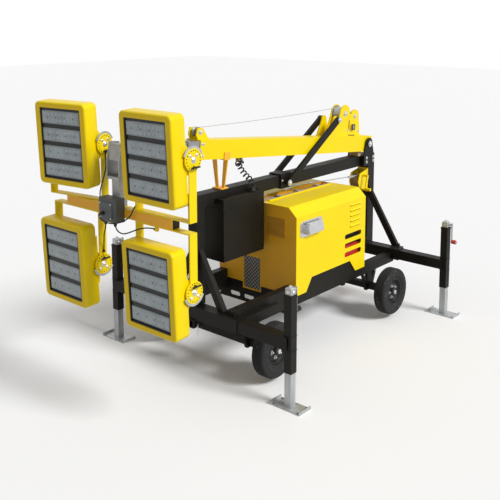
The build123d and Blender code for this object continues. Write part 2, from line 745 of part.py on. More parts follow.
# Radius, bottom and top above the crossmember: shank, then knob
lock_pin_steps = ((8.0, 0.0, 24.0), (15.0, 24.0, 40.0))
with BuildPart() as fittings:
    rx = post_x - post_side / 2
    plate_y([(rx, grab_z[0]), (rx - grab_out, grab_z[0]), (rx - grab_out, grab_z[1]), (rx, grab_z[1])],
            -grab_t / 2, grab_t / 2)
    fillet(fittings.faces().sort_by(Axis.X)[0].edges().filter_by(Axis.Y), 14)
    plate_y([(rx + 1, grab_z[0] + grab_t), (rx - grab_out + grab_t, grab_z[0] + grab_t),
             (rx - grab_out + grab_t, grab_z[1] - grab_t), (rx + 1, grab_z[1] - grab_t)],
            -grab_t, grab_t, mode=Mode.SUBTRACT)
    for r, z0, z1 in lock_pin_steps:
        with BuildSketch(Plane.XY.offset(cross_top + z0)):
            with Locations(*[(xc, s * lock_pin_y) for xc in jack_x.values() for s in (-1, 1)]):
                RegularPolygon(r, 8)
        extrude(amount=z1 - z0)
save(fittings.part, "fittings")

# Mast head: clamp plates and drop post on the innermost section
half_i = inner_s / 2
head_x0 = bar_x - head_w / 2
head_x1 = bar_x + head_w / 2
with BuildPart() as head_bracket:
    slab(bar_x - 30, bar_x + 30, -35, 35, bar_z + bar_side / 2, 1470)
    slab(head_x0 - 5, head_x1 + 5, -half_i - 11, half_i + 11, 1462, 1480)
    for s in (-1, 1):
        plate_y([(head_x0, 1479), (head_x1, 1479), (head_x1, 1570), (head_x1 - 24, 1690), (head_x0, 1680)],
                s * half_i, s * (half_i + 10))
save(head_bracket.part, "head_bracket")

# Lamp frames: forward, to the left and up, with the upper right lamp swung out
lamp_yaw = {"ul": 0.0, "ur": 8.0, "ll": 0.0, "lr": 0.0}
side_sign = {"l": 1, "r": -1}


def lamp_axes(tag):
    t = radians(lamp_yaw[tag])
    return (cos(t), sin(t)), (-sin(t), cos(t))


def lamp_side(tag, lateral, z):
    # Sketch plane square to the lamp's hinge: x is forward, y is up
    fwd, left = lamp_axes(tag)
    yc = side_sign[tag[1]] * lamp_y
    return Plane(origin=(bar_x + lateral * left[0], yc + lateral * left[1], z), x_dir=(*fwd, 0),
                 z_dir=(-left[0], -left[1], 0))


def lamp_front(tag, tilt=0.0):
    # Sketch plane of the lamp's face: x is to the left, y is up, tilted about the hinge
    fwd, left = lamp_axes(tag)
    t = radians(tilt)
    yc = side_sign[tag[1]] * lamp_y
    return Plane(origin=(bar_x, yc, lamp_z[tag[0]]), x_dir=(*left, 0),
                 z_dir=(cos(t) * fwd[0], cos(t) * fwd[1], sin(t)))


gland_out = 16.0
gland_h = 22.0
# Height of each gland above the axis that its lamp tilts on, or below it
gland_rise = {"ul": -280.0, "ur": -48.0, "lr": 78.0}
gland_z = {tag: lamp_z[tag[0]] + rise for tag, rise in gland_rise.items()}
clip_x = 1404.0
clip_y = 350.0
clip_z = 1208.0
with BuildPart() as crossbar:
    box_tube_y(bar_x, bar_z, -bar_half, bar_half, bar_side, bar_wall)
    for row, up in (("u", 1), ("l", -1)):
        zb = bar_z + up * bar_side / 2
        reach = abs(lamp_z[row] - zb)
        for side in ("l", "r"):
            tag = row + side
            for lateral, width in ((yoke_y, 2 * yoke_y), (yoke_y, yoke_t), (-yoke_y + yoke_t, yoke_t)):
                height = yoke_t if width > yoke_t else reach
                with BuildSketch(lamp_side(tag, lateral, zb + up * height / 2)):
                    Rectangle(yoke_w, height)
                extrude(amount=width)
            for lateral in (yoke_y, -yoke_y + yoke_t):
                with BuildSketch(lamp_side(tag, lateral, lamp_z[row])):
                    RegularPolygon(yoke_disc, 2 * boss_flats)
                extrude(amount=yoke_t)
            if tag in gland_z:
                inner = -side_sign[side] * yoke_y
                with BuildSketch(lamp_side(tag, max(inner, inner - side_sign[side] * gland_out),
                                           gland_z[tag] + up * gland_h / 2)):
                    Rectangle(gland_out, gland_h)
                extrude(amount=gland_out)
    # Clip under the lower left yoke, for its cable
    slab(clip_x - gland_out / 2, clip_x + gland_out / 2, clip_y, clip_y + gland_h,
         clip_z - 10, bar_z - bar_side / 2 - yoke_t + 1)
save(crossbar.part, "crossbar")

with BuildPart() as junction_box:
    slab(bar_x + bar_side / 2, bar_x + bar_side / 2 + jbox_depth, -jbox_half, jbox_half, jbox_z0, jbox_z1)
    chamfer(junction_box.faces().sort_by(Axis.X)[-1].edges(), 14)
save(junction_box.part, "junction_box")

# Lamps: rounded housing with the window's recess, fin block and the pivot shaft between the yoke's arms
pivot_r = 24.0
pivot_half = yoke_y - yoke_t - seat
for tag in lamp_yaw:
    face = lamp_front(tag, lamp_tilt)
    with BuildPart() as lamp:
        with BuildSketch(face.offset(lamp_back)):
            RectangleRounded(lamp_w, lamp_h, lamp_corner)
        extrude(amount=lamp_face - lamp_back)
        with BuildSketch(face.offset(lamp_face - bezel_t)):
            Rectangle(win_w, win_h)
        extrude(amount=bezel_t + 1, mode=Mode.SUBTRACT)
        with BuildSketch(face.offset(-heat_d)):
            Rectangle(heat_w, heat_h)
        extrude(amount=lamp_back + heat_d + 1, taper=-4)
        with BuildSketch(lamp_side(tag, pivot_half, lamp_z[tag[0]])):
            RegularPolygon(pivot_r, boss_flats)
        extrude(amount=2 * pivot_half)
    save(lamp.part, f"lamp_{tag}")
    with BuildPart() as led:
        with BuildSketch(face.offset(lamp_face - bezel_t)):
            Rectangle(win_w, win_h)
        extrude(amount=led_t)
    save(led.part, f"led_{tag}")

# Cords: a coiled supply cord from the mast to the cable box, and four lamp cables at the head
cable_d = 8.0
cord_flats = 6
coil_d = 44.0
coil_a = 1671.0
coil_up = half_o
coil_at_mast = mast_point(coil_a, -coil_up)
coil_below = mast_point(coil_a, -coil_up - 50)
jbox_front = bar_x + bar_side / 2 + jbox_depth


def gland_point(tag, z):
    # Middle of the gland on the outer face of a yoke's inner arm
    left = lamp_axes(tag)[1]
    s = side_sign[tag[1]]
    lateral = -s * (yoke_y + gland_out / 2)
    return (bar_x + lateral * left[0], s * lamp_y + lateral * left[1], z)


cord_runs = {
    "cord_coiled": (coil_d, [(coil_at_mast[0], 50, coil_at_mast[1]), (coil_below[0], 50, coil_below[1]),
                             (300, 70, 1334), (244, 88, 1280), (226, 88, 1238), (226, 88, box_z1 + seat)]),
    "cable_ul": (cable_d, [(jbox_front, -20, 1262), (jbox_front + 38, -20, 1262), (jbox_front + 61, 6, 1252),
                           (jbox_front + 61, 48, 1232), (jbox_front + 35, 96, 1218), (1478, 138, 1228),
                           (1434, 162, 1256), (1420, 166, 1290),
                           gland_point("ul", gland_z["ul"] - 32), gland_point("ul", gland_z["ul"])]),
    "cable_ur": (cable_d, [(1430, -jbox_half, 1318), (1430, -jbox_half - 34, 1318), (1422, -138, 1338),
                           (1408, -148, 1378), (1380, -152, 1436), (1352, -158, 1500),
                           gland_point("ur", gland_z["ur"] - 50), gland_point("ur", gland_z["ur"])]),
    "cable_ll": (cable_d, [(1450, 40, jbox_z0), (1450, 40, jbox_z0 - 32), (1444, 60, 1146),
                           (1434, 96, 1136), (1420, 150, 1158), (1408, 214, 1188),
                           (clip_x, clip_y - 54, clip_z), (clip_x, clip_y, clip_z)]),
    "cable_lr": (cable_d, [(1450, -50, jbox_z0), (1450, -50, jbox_z0 - 44), (1436, -88, 1108),
                           (1398, -136, 1064), gland_point("lr", gland_z["lr"] + 44),
                           gland_point("lr", gland_z["lr"])]),
}


def bend_radii(points):
    radii = []
    for a, b, c in zip(points, points[1:], points[2:]):
        u = Vector(*b) - Vector(*a)
        v = Vector(*c) - Vector(*b)
        radii.append(0.45 * min(u.length, v.length) / tan(radians(u.get_angle(v)) / 2))
    return radii


for label, (d, points) in cord_runs.items():
    radii = bend_radii(points)
    with BuildPart() as cord:
        with BuildLine() as route:
            FilletPolyline(*points, radius=radii)
        path = route.wires()[0]
        with BuildSketch(Plane(origin=path @ 0, z_dir=path % 0)) as section:
            RegularPolygon(d / 2, cord_flats)
        sweep(section.sketch, path=path)
    save(cord.part, label)
    fit = cord.part.volume / (section.sketch.area * path.length)
    runs = [round((Vector(*b) - Vector(*a)).length) for a, b in zip(points, points[1:])]
    print(label, "length", round(path.length), "fit", round(fit, 4))
    print("  radii", [round(r) for r in radii], "runs", runs)
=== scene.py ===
import bpy
import bmesh
import json
from math import cos, pi, radians, sin
from mathutils import Matrix, Vector


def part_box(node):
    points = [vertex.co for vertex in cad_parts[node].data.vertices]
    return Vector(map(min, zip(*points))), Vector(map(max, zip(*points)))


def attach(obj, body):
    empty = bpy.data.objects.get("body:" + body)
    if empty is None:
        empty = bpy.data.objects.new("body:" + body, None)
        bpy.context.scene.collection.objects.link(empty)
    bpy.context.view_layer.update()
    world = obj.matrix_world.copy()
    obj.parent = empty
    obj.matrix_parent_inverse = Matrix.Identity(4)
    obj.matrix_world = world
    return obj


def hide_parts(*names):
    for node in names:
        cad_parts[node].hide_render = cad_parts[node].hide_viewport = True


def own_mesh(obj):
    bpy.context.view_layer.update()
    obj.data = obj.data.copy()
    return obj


# Site light tower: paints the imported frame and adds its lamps, tyres, cords and small fittings.
# Metres: X forward to the lamps, Y to the machine's left, Z up, floor at z = 0.
# Tags: f front and r rear, or u upper and l lower, then l left and r right.
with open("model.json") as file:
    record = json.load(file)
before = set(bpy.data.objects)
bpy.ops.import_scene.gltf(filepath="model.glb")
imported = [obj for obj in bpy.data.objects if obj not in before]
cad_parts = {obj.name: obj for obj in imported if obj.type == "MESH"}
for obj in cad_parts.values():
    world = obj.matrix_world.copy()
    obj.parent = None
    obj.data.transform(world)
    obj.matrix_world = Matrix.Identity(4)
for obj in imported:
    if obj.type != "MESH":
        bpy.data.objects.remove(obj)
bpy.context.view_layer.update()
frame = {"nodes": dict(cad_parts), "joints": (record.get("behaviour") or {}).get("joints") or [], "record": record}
scene = bpy.context.scene
joints = {joint["name"]: joint for joint in frame["joints"]}
mounts = {mount["name"]: mount for mount in frame["record"]["mounts"]}
side_sign = {"l": 1, "r": -1}
lamp_tags = ("ul", "ur", "ll", "lr")
corner_tags = ("fl", "fr", "rl", "rr")

# Camera: a lens of 56.4 mm on 36 mm, a little above the machine, off its front left corner
cam_data = bpy.data.cameras.new("camera")
cam = bpy.data.objects.new("camera", cam_data)
scene.collection.objects.link(cam)
cam_data.lens = 56.43
cam_data.sensor_width = 36.0
cam_data.shift_y = -0.257
cam_data.clip_end = 100
cam.location = (4.4257, 3.6861, 2.4513)
cam.rotation_mode = "QUATERNION"
cam.rotation_quaternion = Vector((-0.75049, -0.64706, -0.13442)).to_track_quat("-Z", "Y")
scene.camera = cam


# Materials
def mat(name, color, rough=0.5, metal=0.0, coat=0.0, shine=0.5):
    """Shader of one colour, which the functions below give its detail."""
    material = bpy.data.materials.new(name)
    material.use_nodes = True
    sockets = material.node_tree.nodes["Principled BSDF"].inputs
    sockets["Base Color"].default_value = (*color, 1)
    sockets["Roughness"].default_value = rough
    sockets["Metallic"].default_value = metal
    sockets["Coat Weight"].default_value = coat
    sockets["Specular IOR Level"].default_value = shine
    return material


def noise(tree, scale, detail=4.0, stretch=(1, 1, 1)):
    """A noise over the object's own coordinates, drawn out along an axis if asked."""
    coordinates = tree.nodes.new("ShaderNodeTexCoord")
    mapping = tree.nodes.new("ShaderNodeMapping")
    mapping.inputs["Scale"].default_value = stretch
    cloud = tree.nodes.new("ShaderNodeTexNoise")
    cloud.inputs["Scale"].default_value = scale
    cloud.inputs["Detail"].default_value = detail
    tree.links.new(coordinates.outputs["Object"], mapping.inputs["Vector"])
    tree.links.new(mapping.outputs["Vector"], cloud.inputs["Vector"])
    return cloud.outputs["Fac"]


def ramp(tree, value, low, high, below=(0, 0, 0), above=(1, 1, 1)):
    """Goes from one colour to another as a value goes from low to high."""
    node = tree.nodes.new("ShaderNodeValToRGB")
    for end, position, color in zip(node.color_ramp.elements, (low, high), (below, above)):
        end.position = position
        end.color = (*color, 1)
    tree.links.new(value, node.inputs["Fac"])
    return node.outputs["Color"]


def mottle(material, scale, amount, rough=None, bump=0.0, stretch=(1, 1, 1), wear=None):
    """Mottles the base colour by a share of itself, and adds what else is asked: uneven gloss between two
    roughnesses, a fine bump, and worn patches of a colour, by their scale and where they start."""
    tree = material.node_tree
    shader = tree.nodes["Principled BSDF"]
    base = tuple(shader.inputs["Base Color"].default_value)[:3]
    cloud = noise(tree, scale, stretch=stretch)
    darker = tuple(c * (1 - amount) for c in base)
    lighter = tuple(min(1, c * (1 + amount)) for c in base)
    color = ramp(tree, cloud, 0.3, 0.7, darker, lighter)
    if wear:
        worn_color, worn_scale, worn_from = wear
        mix = tree.nodes.new("ShaderNodeMixRGB")
        mix.inputs["Color2"].default_value = (*worn_color, 1)
        patches = ramp(tree, noise(tree, worn_scale, 9.0), worn_from, worn_from + 0.05)
        tree.links.new(patches, mix.inputs["Fac"])
        tree.links.new(color, mix.inputs["Color1"])
        color = mix.outputs["Color"]
    tree.links.new(color, shader.inputs["Base Color"])
    if rough:
        gloss = tree.nodes.new("ShaderNodeMapRange")
        gloss.inputs["To Min"].default_value, gloss.inputs["To Max"].default_value = rough
        tree.links.new(cloud, gloss.inputs["Value"])
        tree.links.new(gloss.outputs["Result"], shader.inputs["Roughness"])
    if bump:
        relief = tree.nodes.new("ShaderNodeBump")
        relief.inputs["Strength"].default_value = bump
        relief.inputs["Distance"].default_value = 0.001
        tree.links.new(noise(tree, scale * 12, 3.0, stretch), relief.inputs["Height"])
        tree.links.new(relief.outputs["Normal"], shader.inputs["Normal"])
    return material


def perforated(name, color, hole_color, pitch, share):
    """Sheet with a staggered grid of round holes, seen along X."""
    material = mat(name, color, 0.45, 0.35)
    tree = material.node_tree
    coordinates = tree.nodes.new("ShaderNodeTexCoord")
    flat = tree.nodes.new("ShaderNodeVectorMath")
    flat.operation = "MULTIPLY"
    flat.inputs[1].default_value = (0, 1, 1)
    mapping = tree.nodes.new("ShaderNodeMapping")
    mapping.inputs["Rotation"].default_value = (pi / 4, 0, 0)
    cells = tree.nodes.new("ShaderNodeTexVoronoi")
    cells.inputs["Scale"].default_value = 1 / pitch
    cells.inputs["Randomness"].default_value = 0.0
    tree.links.new(coordinates.outputs["Object"], flat.inputs[0])
    tree.links.new(flat.outputs["Vector"], mapping.inputs["Vector"])
    tree.links.new(mapping.outputs["Vector"], cells.inputs["Vector"])
    holes = ramp(tree, cells.outputs["Distance"], share, share + 0.06, hole_color, color)
    tree.links.new(holes, tree.nodes["Principled BSDF"].inputs["Base Color"])
    return material


# Paints: mat takes a name, colour and roughness, and mottle a scale, strength, range of roughness and bump
yellow = mottle(mat("yellow_paint", (0.93, 0.70, 0.0), 0.4, coat=0.06, shine=0.22),
                5, 0.03, (0.34, 0.48), 0.06)
# Yellow in painted shade: darker and more orange, for faces that stand out of the light
shaded_yellow = mottle(mat("amber_paint", (0.98, 0.50, 0.03), 0.4, coat=0.05, shine=0.3),
               5, 0.05, (0.34, 0.48), 0.06)
# Yellow in a deeper painted shade, more mottled, for the front panel
deeper_shaded_yellow = mottle(mat("amber_panel", (0.62, 0.30, 0.025), 0.45), 12, 0.10, (0.4, 0.55), 0.06)
# Yellow in painted shade for the lamps' front rings, darker than their housings
shaded_lamp_yellow = mottle(mat("lamp_front_paint", (0.90, 0.62, 0.01), 0.45, shine=0.2),
                 5, 0.04, (0.38, 0.5), 0.06)
red = mottle(mat("red_paint", (0.55, 0.02, 0.02), 0.4, coat=0.2), 20, 0.12, (0.35, 0.5), 0.08)
black = mottle(mat("black_paint", (0.009, 0.008, 0.006), 0.5, shine=0.18),
               9, 0.25, (0.4, 0.6), 0.15, wear=((0.07, 0.065, 0.055), 26, 0.70))
sheet_black = mottle(mat("black_sheet", (0.009, 0.0075, 0.004), 0.42, shine=0.15),
                     7, 0.25, (0.34, 0.5), 0.05)
rim_black = mottle(mat("rim", (0.012, 0.012, 0.012), 0.42, shine=0.3), 30, 0.2, (0.36, 0.55), 0.1)

# Metals
steel = mottle(mat("bright_steel", (0.66, 0.66, 0.66), 0.28, 1.0), 60, 0.1, (0.2, 0.4), 0.05)
dull_steel = mottle(mat("mast_steel", (0.30, 0.30, 0.29), 0.45, 0.75), 18, 0.2, (0.38, 0.6), 0.12)
zinc = mottle(mat("zinc_plate", (0.46, 0.475, 0.48), 0.45, 0.55),
              26, 0.16, (0.34, 0.55), 0.1, stretch=(1, 1, 0.3))
chrome = mottle(mat("latch_chrome", (0.60, 0.60, 0.62), 0.24, 1.0), 30, 0.06, (0.14, 0.28))
cast = mottle(mat("engine", (0.055, 0.055, 0.058), 0.6, 0.3), 14, 0.4, (0.5, 0.75), 0.3)
grille = perforated("grille_metal", (0.34, 0.32, 0.30), (0.02, 0.018, 0.016), pitch=0.021, share=0.36)
rope_steel = mottle(mat("rope_steel", (0.50, 0.50, 0.49), 0.45, 0.8), 200, 0.35, (0.4, 0.6), 0.4)
# Brown of the tilting drum and the coil's clamp, also used for painted shadows on the mast winch's plate
rope_brown = mottle(mat("rope_brown", (0.28, 0.17, 0.08), 0.6, 0.4), 80, 0.4, (0.5, 0.7), 0.4)

# Rubber, plastics and the pads' board
rubber = mottle(mat("tyre", (0.020, 0.020, 0.021), 0.8, shine=0.3),
                40, 0.25, (0.68, 0.92), 0.3, wear=((0.075, 0.068, 0.058), 20, 0.62))
sheath = mottle(mat("cable_black", (0.010, 0.010, 0.010), 0.5, shine=0.3), 60, 0.2, (0.42, 0.6), 0.1)
box_grey = mottle(mat("grey_plastic", (0.085, 0.092, 0.10), 0.5), 50, 0.1, (0.45, 0.6), 0.2)
sandy = mottle(mat("pad", (0.50, 0.36, 0.20), 0.8), 30, 0.15, (0.7, 0.9), 0.2)

# Lamp windows
dark = mottle(mat("window_dark", (0.012, 0.012, 0.013), 0.4, shine=0.3), 30, 0.2, (0.3, 0.42))
strip_frame = mottle(mat("led_frame", (0.20, 0.22, 0.225), 0.4, 0.5), 30, 0.1, (0.35, 0.5))
strip_glass = mottle(mat("led_glass", (0.27, 0.315, 0.33), 0.22, 0.1, coat=0.7),
                     14, 0.22, (0.15, 0.3), 0.04)
lens = mottle(mat("led_lens", (0.33, 0.375, 0.39), 0.18, 0.1, coat=0.8), 60, 0.15, (0.12, 0.24))

# Finishes of the nodes, by the record's slots
finishes = {
    "black_paint": black, "black_sheet": sheet_black, "yellow_paint": yellow, "lamp_yellow": yellow,
    "grille_metal": grille, "engine": cast, "pad": sandy, "galvanised": zinc, "mast_steel": dull_steel,
    "grey_plastic": box_grey, "crank_steel": zinc, "tyre": rubber, "rim": rim_black,
    "latch_chrome": chrome, "led_window": dark, "cable_black": sheath}
# The canopy and the rest fork take the yellow in painted shade
painted_shade_nodes = ("canopy", "rest_fork")
for row in frame["record"]["subparts"]:
    materials = frame["nodes"][row["node"]].data.materials
    materials.clear()
    materials.append(shaded_yellow if row["node"] in painted_shade_nodes else finishes[row["material_slot"]])


# Local frames
def place(origin, x_dir, z_dir):
    """Frame with x along x_dir and z along z_dir, at origin."""
    x = Vector(x_dir).normalized()
    z = Vector(z_dir).normalized()
    y = z.cross(x).normalized()
    return Matrix.Translation(origin) @ Matrix((x, y, z)).transposed().to_4x4()


def facing_side(x, y, z, s):
    """Frame on a face that looks left where s is 1 and right where it is -1, y from the middle plane."""
    return place((x, s * y, z), (1, 0, 0), (0, s, 0))


def facing_front(x, y, z):
    """Frame on a face that looks forward, with its x to the left and its y up."""
    return place((x, y, z), (0, 1, 0), (1, 0, 0))


def shift(x, y, z):
    return Matrix.Translation((x, y, z))


# Outlines
def span(s, near, far):
    """Lowest and highest y of what reaches from near to far on the side of s."""
    return sorted((s * near, s * far))


def level(outline, z):
    """An outline of (x, y) points at a height of z."""
    return [(x, y, z) for x, y in outline]


def rounded(w, h, r, corner=6):
    """Rounded rectangle about the origin, with the same number of points for any size."""
    points = []
    for x_sign, y_sign, start in ((1, 1, 0), (-1, 1, 90), (-1, -1, 180), (1, -1, 270)):
        for i in range(corner + 1):
            a = radians(start + 90 * i / corner)
            points.append((x_sign * (w / 2 - r) + r * cos(a), y_sign * (h / 2 - r) + r * sin(a)))
    return points


def oval(half_w, half_h, count):
    """Oval about the origin."""
    turns = [2 * pi * i / count for i in range(count)]
    return [(half_w * cos(a), half_h * sin(a)) for a in turns]


washer_t = 0.0015


class Piece:
    """Solids of one material, gathered into one mesh that rides on one body. slot is not used, and smooth
    is the angle in degrees up to which an edge is shaded smooth."""

    def __init__(self, name, body, material, slot, smooth=35.0):
        self.name = name
        self.body = body
        self.material = material
        self.slot = slot
        self.smooth = smooth
        self.bm = bmesh.new()

    def loops(self, rings, at=Matrix(), cyclic=False):
        """Skins a stack of rings with as many points each, and caps its ends unless they meet."""
        rows = [[self.bm.verts.new(at @ Vector(point)) for point in ring] for ring in rings]
        count = len(rows[0])
        for a, b in zip(rows, rows[1:] + (rows[:1] if cyclic else [])):
            for i in range(count):
                after = (i + 1) % count
                self.bm.faces.new((a[i], a[after], b[after], b[i]))
        if not cyclic:
            self.bm.faces.new(list(reversed(rows[0])))
            self.bm.faces.new(rows[-1])

    def box(self, x0, x1, y0, y1, z0, z1, at=Matrix(), edge=0.0):
        """Block whose upright edges, and its top's rim where it is tall enough, are cut back by edge."""
        half_x = (x1 - x0) / 2
        half_y = (y1 - y0) / 2
        cut = min(edge, half_x / 1.005, half_y / 1.005)
        outline = [(-half_x, -half_y), (half_x, -half_y), (half_x, half_y), (-half_x, half_y)]
        if cut:
            in_x = half_x - cut
            in_y = half_y - cut
            outline = [(-in_x, -half_y), (in_x, -half_y), (half_x, -in_y), (half_x, in_y),
                       (in_x, half_y), (-in_x, half_y), (-half_x, in_y), (-half_x, -in_y)]
        levels = [(z0, 0.0), (z1, 0.0)]
        if cut and z1 - z0 > 2 * cut:
            levels = [(z0, 0.0), (z1 - cut, 0.0), (z1, cut)]
        middle = shift((x0 + x1) / 2, (y0 + y1) / 2, 0)
        rings = []
        for z, inset in levels:
            across = 1 - inset / half_x
            along = 1 - inset / half_y
            rings.append([(x * across, y * along, z) for x, y in outline])
        self.loops(rings, at @ middle)

    def prism(self, outline, z0, z1, at=Matrix()):
        """Block on an outline of (x, y) points."""
        self.loops([level(outline, z0), level(outline, z1)], at)

    def turned(self, profile, at=Matrix(), sides=32, closed=False):
        """Turns a profile of (radius, height) about the local z axis."""
        self.loops([level(oval(r, r, sides), z) for r, z in profile], at, cyclic=closed)

    def rod(self, start, end, r, sides=16):
        """Round bar from one point to another."""
        axis = Vector(end) - Vector(start)
        other = Vector((0, 0, 1)) if abs(axis.normalized().z) < 0.9 else Vector((1, 0, 0))
        self.turned([(r, 0), (r, axis.length)], place(start, other.cross(axis), axis), sides)

    def bolt(self, at, r, h):
        """Hexagon head on its washer, with the thread's end, standing on the local xy plane."""
        top = washer_t + h
        self.turned([(r * 1.5, 0), (r * 1.5, washer_t)], at, 16)
        self.turned([(r, washer_t), (r, washer_t + h * 0.8), (r * 0.85, top)], at, 6)
        self.turned([(r * 0.5, top), (r * 0.5, washer_t + h * 1.4)], at, 10)

    def tube(self, points, r, sides=10):
        """Round bar along a line of points."""
        points = [Vector(point) for point in points]
        normal = (points[1] - points[0]).orthogonal().normalized()
        rings = []
        for i, point in enumerate(points):
            ahead = (points[min(i + 1, len(points) - 1)] - points[max(i - 1, 0)]).normalized()
            normal = (normal - normal.dot(ahead) * ahead).normalized()
            side = ahead.cross(normal)
            rings.append([point + x * normal + y * side for x, y in oval(r, r, sides)])
        self.loops(rings)

    def done(self, *replaced):
        """Makes the object, rides it on its body and replaces the nodes that it stands for."""
        bmesh.ops.recalc_face_normals(self.bm, faces=self.bm.faces)
        mesh = bpy.data.meshes.new(self.name)
        self.bm.to_mesh(mesh)
        self.bm.free()
        mesh.shade_smooth()
        mesh.set_sharp_from_angle(angle=radians(self.smooth))
        mesh.materials.append(self.material)
        piece = bpy.data.objects.new(self.name, mesh)
        scene.collection.objects.link(piece)
        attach(piece, self.body)
        if replaced:
            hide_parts(*replaced)
        return piece


def done_all(*pieces):
    for piece in pieces:
        piece.done()


# Lamps: rounded housing with a recess, cooling fins and pivot ears, then the window's strips
lamp_tilt = -3.0
lamp_w = 0.438
lamp_h = 0.536
lamp_corner = 0.034
lamp_back = 0.035
lamp_face = 0.143
front_inset = 0.0095
window_w = 0.348
window_h = 0.460
window_corner = 0.006
window_floor = 0.1235
gasket_top = 0.1405
gasket_wall = 0.0075
sink_x = 0.150
sink_y = 0.165
sink_z = (0.010, lamp_back + 0.002)
fin_count = 13
fin_pitch = 0.024
fin_half = 0.002
fin_y = 0.160
fin_z = (-0.028, 0.012)
shaft_r = 0.020
shaft_half = 0.2225
ear_x = 0.2145
ear_half = 0.0035
ear_outline = [
    (-0.100, 0.046), (-0.034, -0.012), (-0.018, -0.026), (0.018, -0.026), (0.034, -0.012), (0.100, 0.046)]
strip_count = 4
strip_pitch = 0.113
strip_x = window_w / 2 - 0.011
strip_y = 0.043
strip_z = (0.1325, 0.1370)
glass_inset = 0.007
glass_z = (0.1360, 0.1382)
lens_z = 0.1380
lens_profile = ((0.0080, 0), (0.0068, 0.0014), (0.0035, 0.0024))
lens_count = 9
lens_pitch = 0.034
lens_row = 0.018
screw_count = 4
screw_pitch = 0.074
screw_profile = ((0.0042, 0), (0.0036, 0.0012))


def lamp_frame(tag, tilt=lamp_tilt):
    """x to the lamp's left, y up and z out of its face, about the hinge."""
    hinge = joints[f"lamp_{tag}_tilt"]
    left = -Vector(hinge["axis"])
    ahead = left.cross(Vector((0, 0, 1)))
    angle = radians(tilt)
    return place(hinge["pos_m"], left, cos(angle) * ahead + Vector((0, 0, sin(angle))))


def centred(count, pitch):
    """Places of so many things, a pitch apart, about the middle."""
    return [(i - (count - 1) / 2) * pitch for i in range(count)]


def lamp_body(tag):
    at = lamp_frame(tag)
    window = rounded(window_w, window_h, window_corner)
    housing = Piece(f"lamp_body_{tag}", f"lamp_{tag}", yellow, "lamp_yellow", smooth=40)
    # Insets of the outline, from the back's rim to the face's
    insets = ((0.012, lamp_back), (0.004, lamp_back + 0.001), (0.0, lamp_back + 0.006),
              (0.0, lamp_face - 0.012), (0.0015, lamp_face - 0.006), (0.0045, lamp_face - 0.002),
              (0.009, lamp_face))
    rings = [level(rounded(lamp_w - 2 * i, lamp_h - 2 * i, lamp_corner - i), z) for i, z in insets]
    housing.loops(rings + [level(window, lamp_face), level(window, window_floor)], at)
    housing.box(-sink_x, sink_x, -sink_y, sink_y, *sink_z, at, edge=0.004)
    for x in centred(fin_count, fin_pitch):
        housing.box(x - fin_half, x + fin_half, -fin_y, fin_y, *fin_z, at)
    housing.rod(at @ Vector((-shaft_half, 0, 0)), at @ Vector((shaft_half, 0, 0)), shaft_r)
    for s in (-1, 1):
        side = at @ place((s * ear_x, 0, 0), (0, 1, 0), (1, 0, 0))
        housing.prism(ear_outline, -ear_half, ear_half, side)
    housing.done(f"lamp_{tag}")
    # Front ring round the window, in painted shade
    front = Piece(f"lamp_front_{tag}", f"lamp_{tag}", shaded_lamp_yellow, "lamp_yellow")
    edge = rounded(lamp_w - 2 * front_inset, lamp_h - 2 * front_inset, lamp_corner - front_inset)
    under = lamp_face - 0.002
    over = lamp_face + 0.0006
    rings = [level(edge, under), level(edge, over), level(window, over), level(window, under)]
    front.loops(rings, at, cyclic=True)
    front.done()


def lamp_window(tag):
    at = lamp_frame(tag)
    body = f"lamp_{tag}"
    gasket = Piece(f"gasket_{tag}", body, dark, "led_window")
    outer = rounded(window_w - 0.001, window_h - 0.001, 0.005)
    inner = rounded(window_w - 0.001 - 2 * gasket_wall, window_h - 0.001 - 2 * gasket_wall, 0.004)
    gasket.loops([level(outer, window_floor), level(outer, gasket_top),
                  level(inner, gasket_top), level(inner, window_floor)], at, cyclic=True)
    gasket.done()
    rims = Piece(f"strip_rims_{tag}", body, strip_frame, "led_window")
    glass = Piece(f"strip_glass_{tag}", body, strip_glass, "led_window")
    lenses = Piece(f"lenses_{tag}", body, lens, "led_window", smooth=60)
    screws = Piece(f"strip_screws_{tag}", body, dark, "led_window")
    glass_x = strip_x - glass_inset
    glass_y = strip_y - glass_inset
    for y in centred(strip_count, strip_pitch):
        rims.box(-strip_x, strip_x, y - strip_y, y + strip_y, *strip_z, at, edge=0.002)
        glass.box(-glass_x, glass_x, y - glass_y, y + glass_y, *glass_z, at, edge=0.001)
        for row in (-lens_row, lens_row):
            for x in centred(lens_count, lens_pitch):
                lenses.turned(lens_profile, at @ shift(x, y + row, lens_z), 12)
        for x in centred(screw_count, screw_pitch):
            screws.turned(screw_profile, at @ shift(x, y, lens_z), 8)
    done_all(rims, glass, lenses, screws)


# Yokes: index discs with their holes, zinc scales, bolts and clamp levers on the arms' outer faces
yoke_x = 0.231
disc_r = 0.066
disc_t = 0.0055
hole_circle = 0.054
hole_count = 18
scale_r = (0.062, 0.080)
scale_z = (0.0002, 0.0030)
scale_deg = 70
bolt_off = 0.026
lever_off = 0.040
lever_out = 0.026
lever_ends = (-0.030, 0.034)


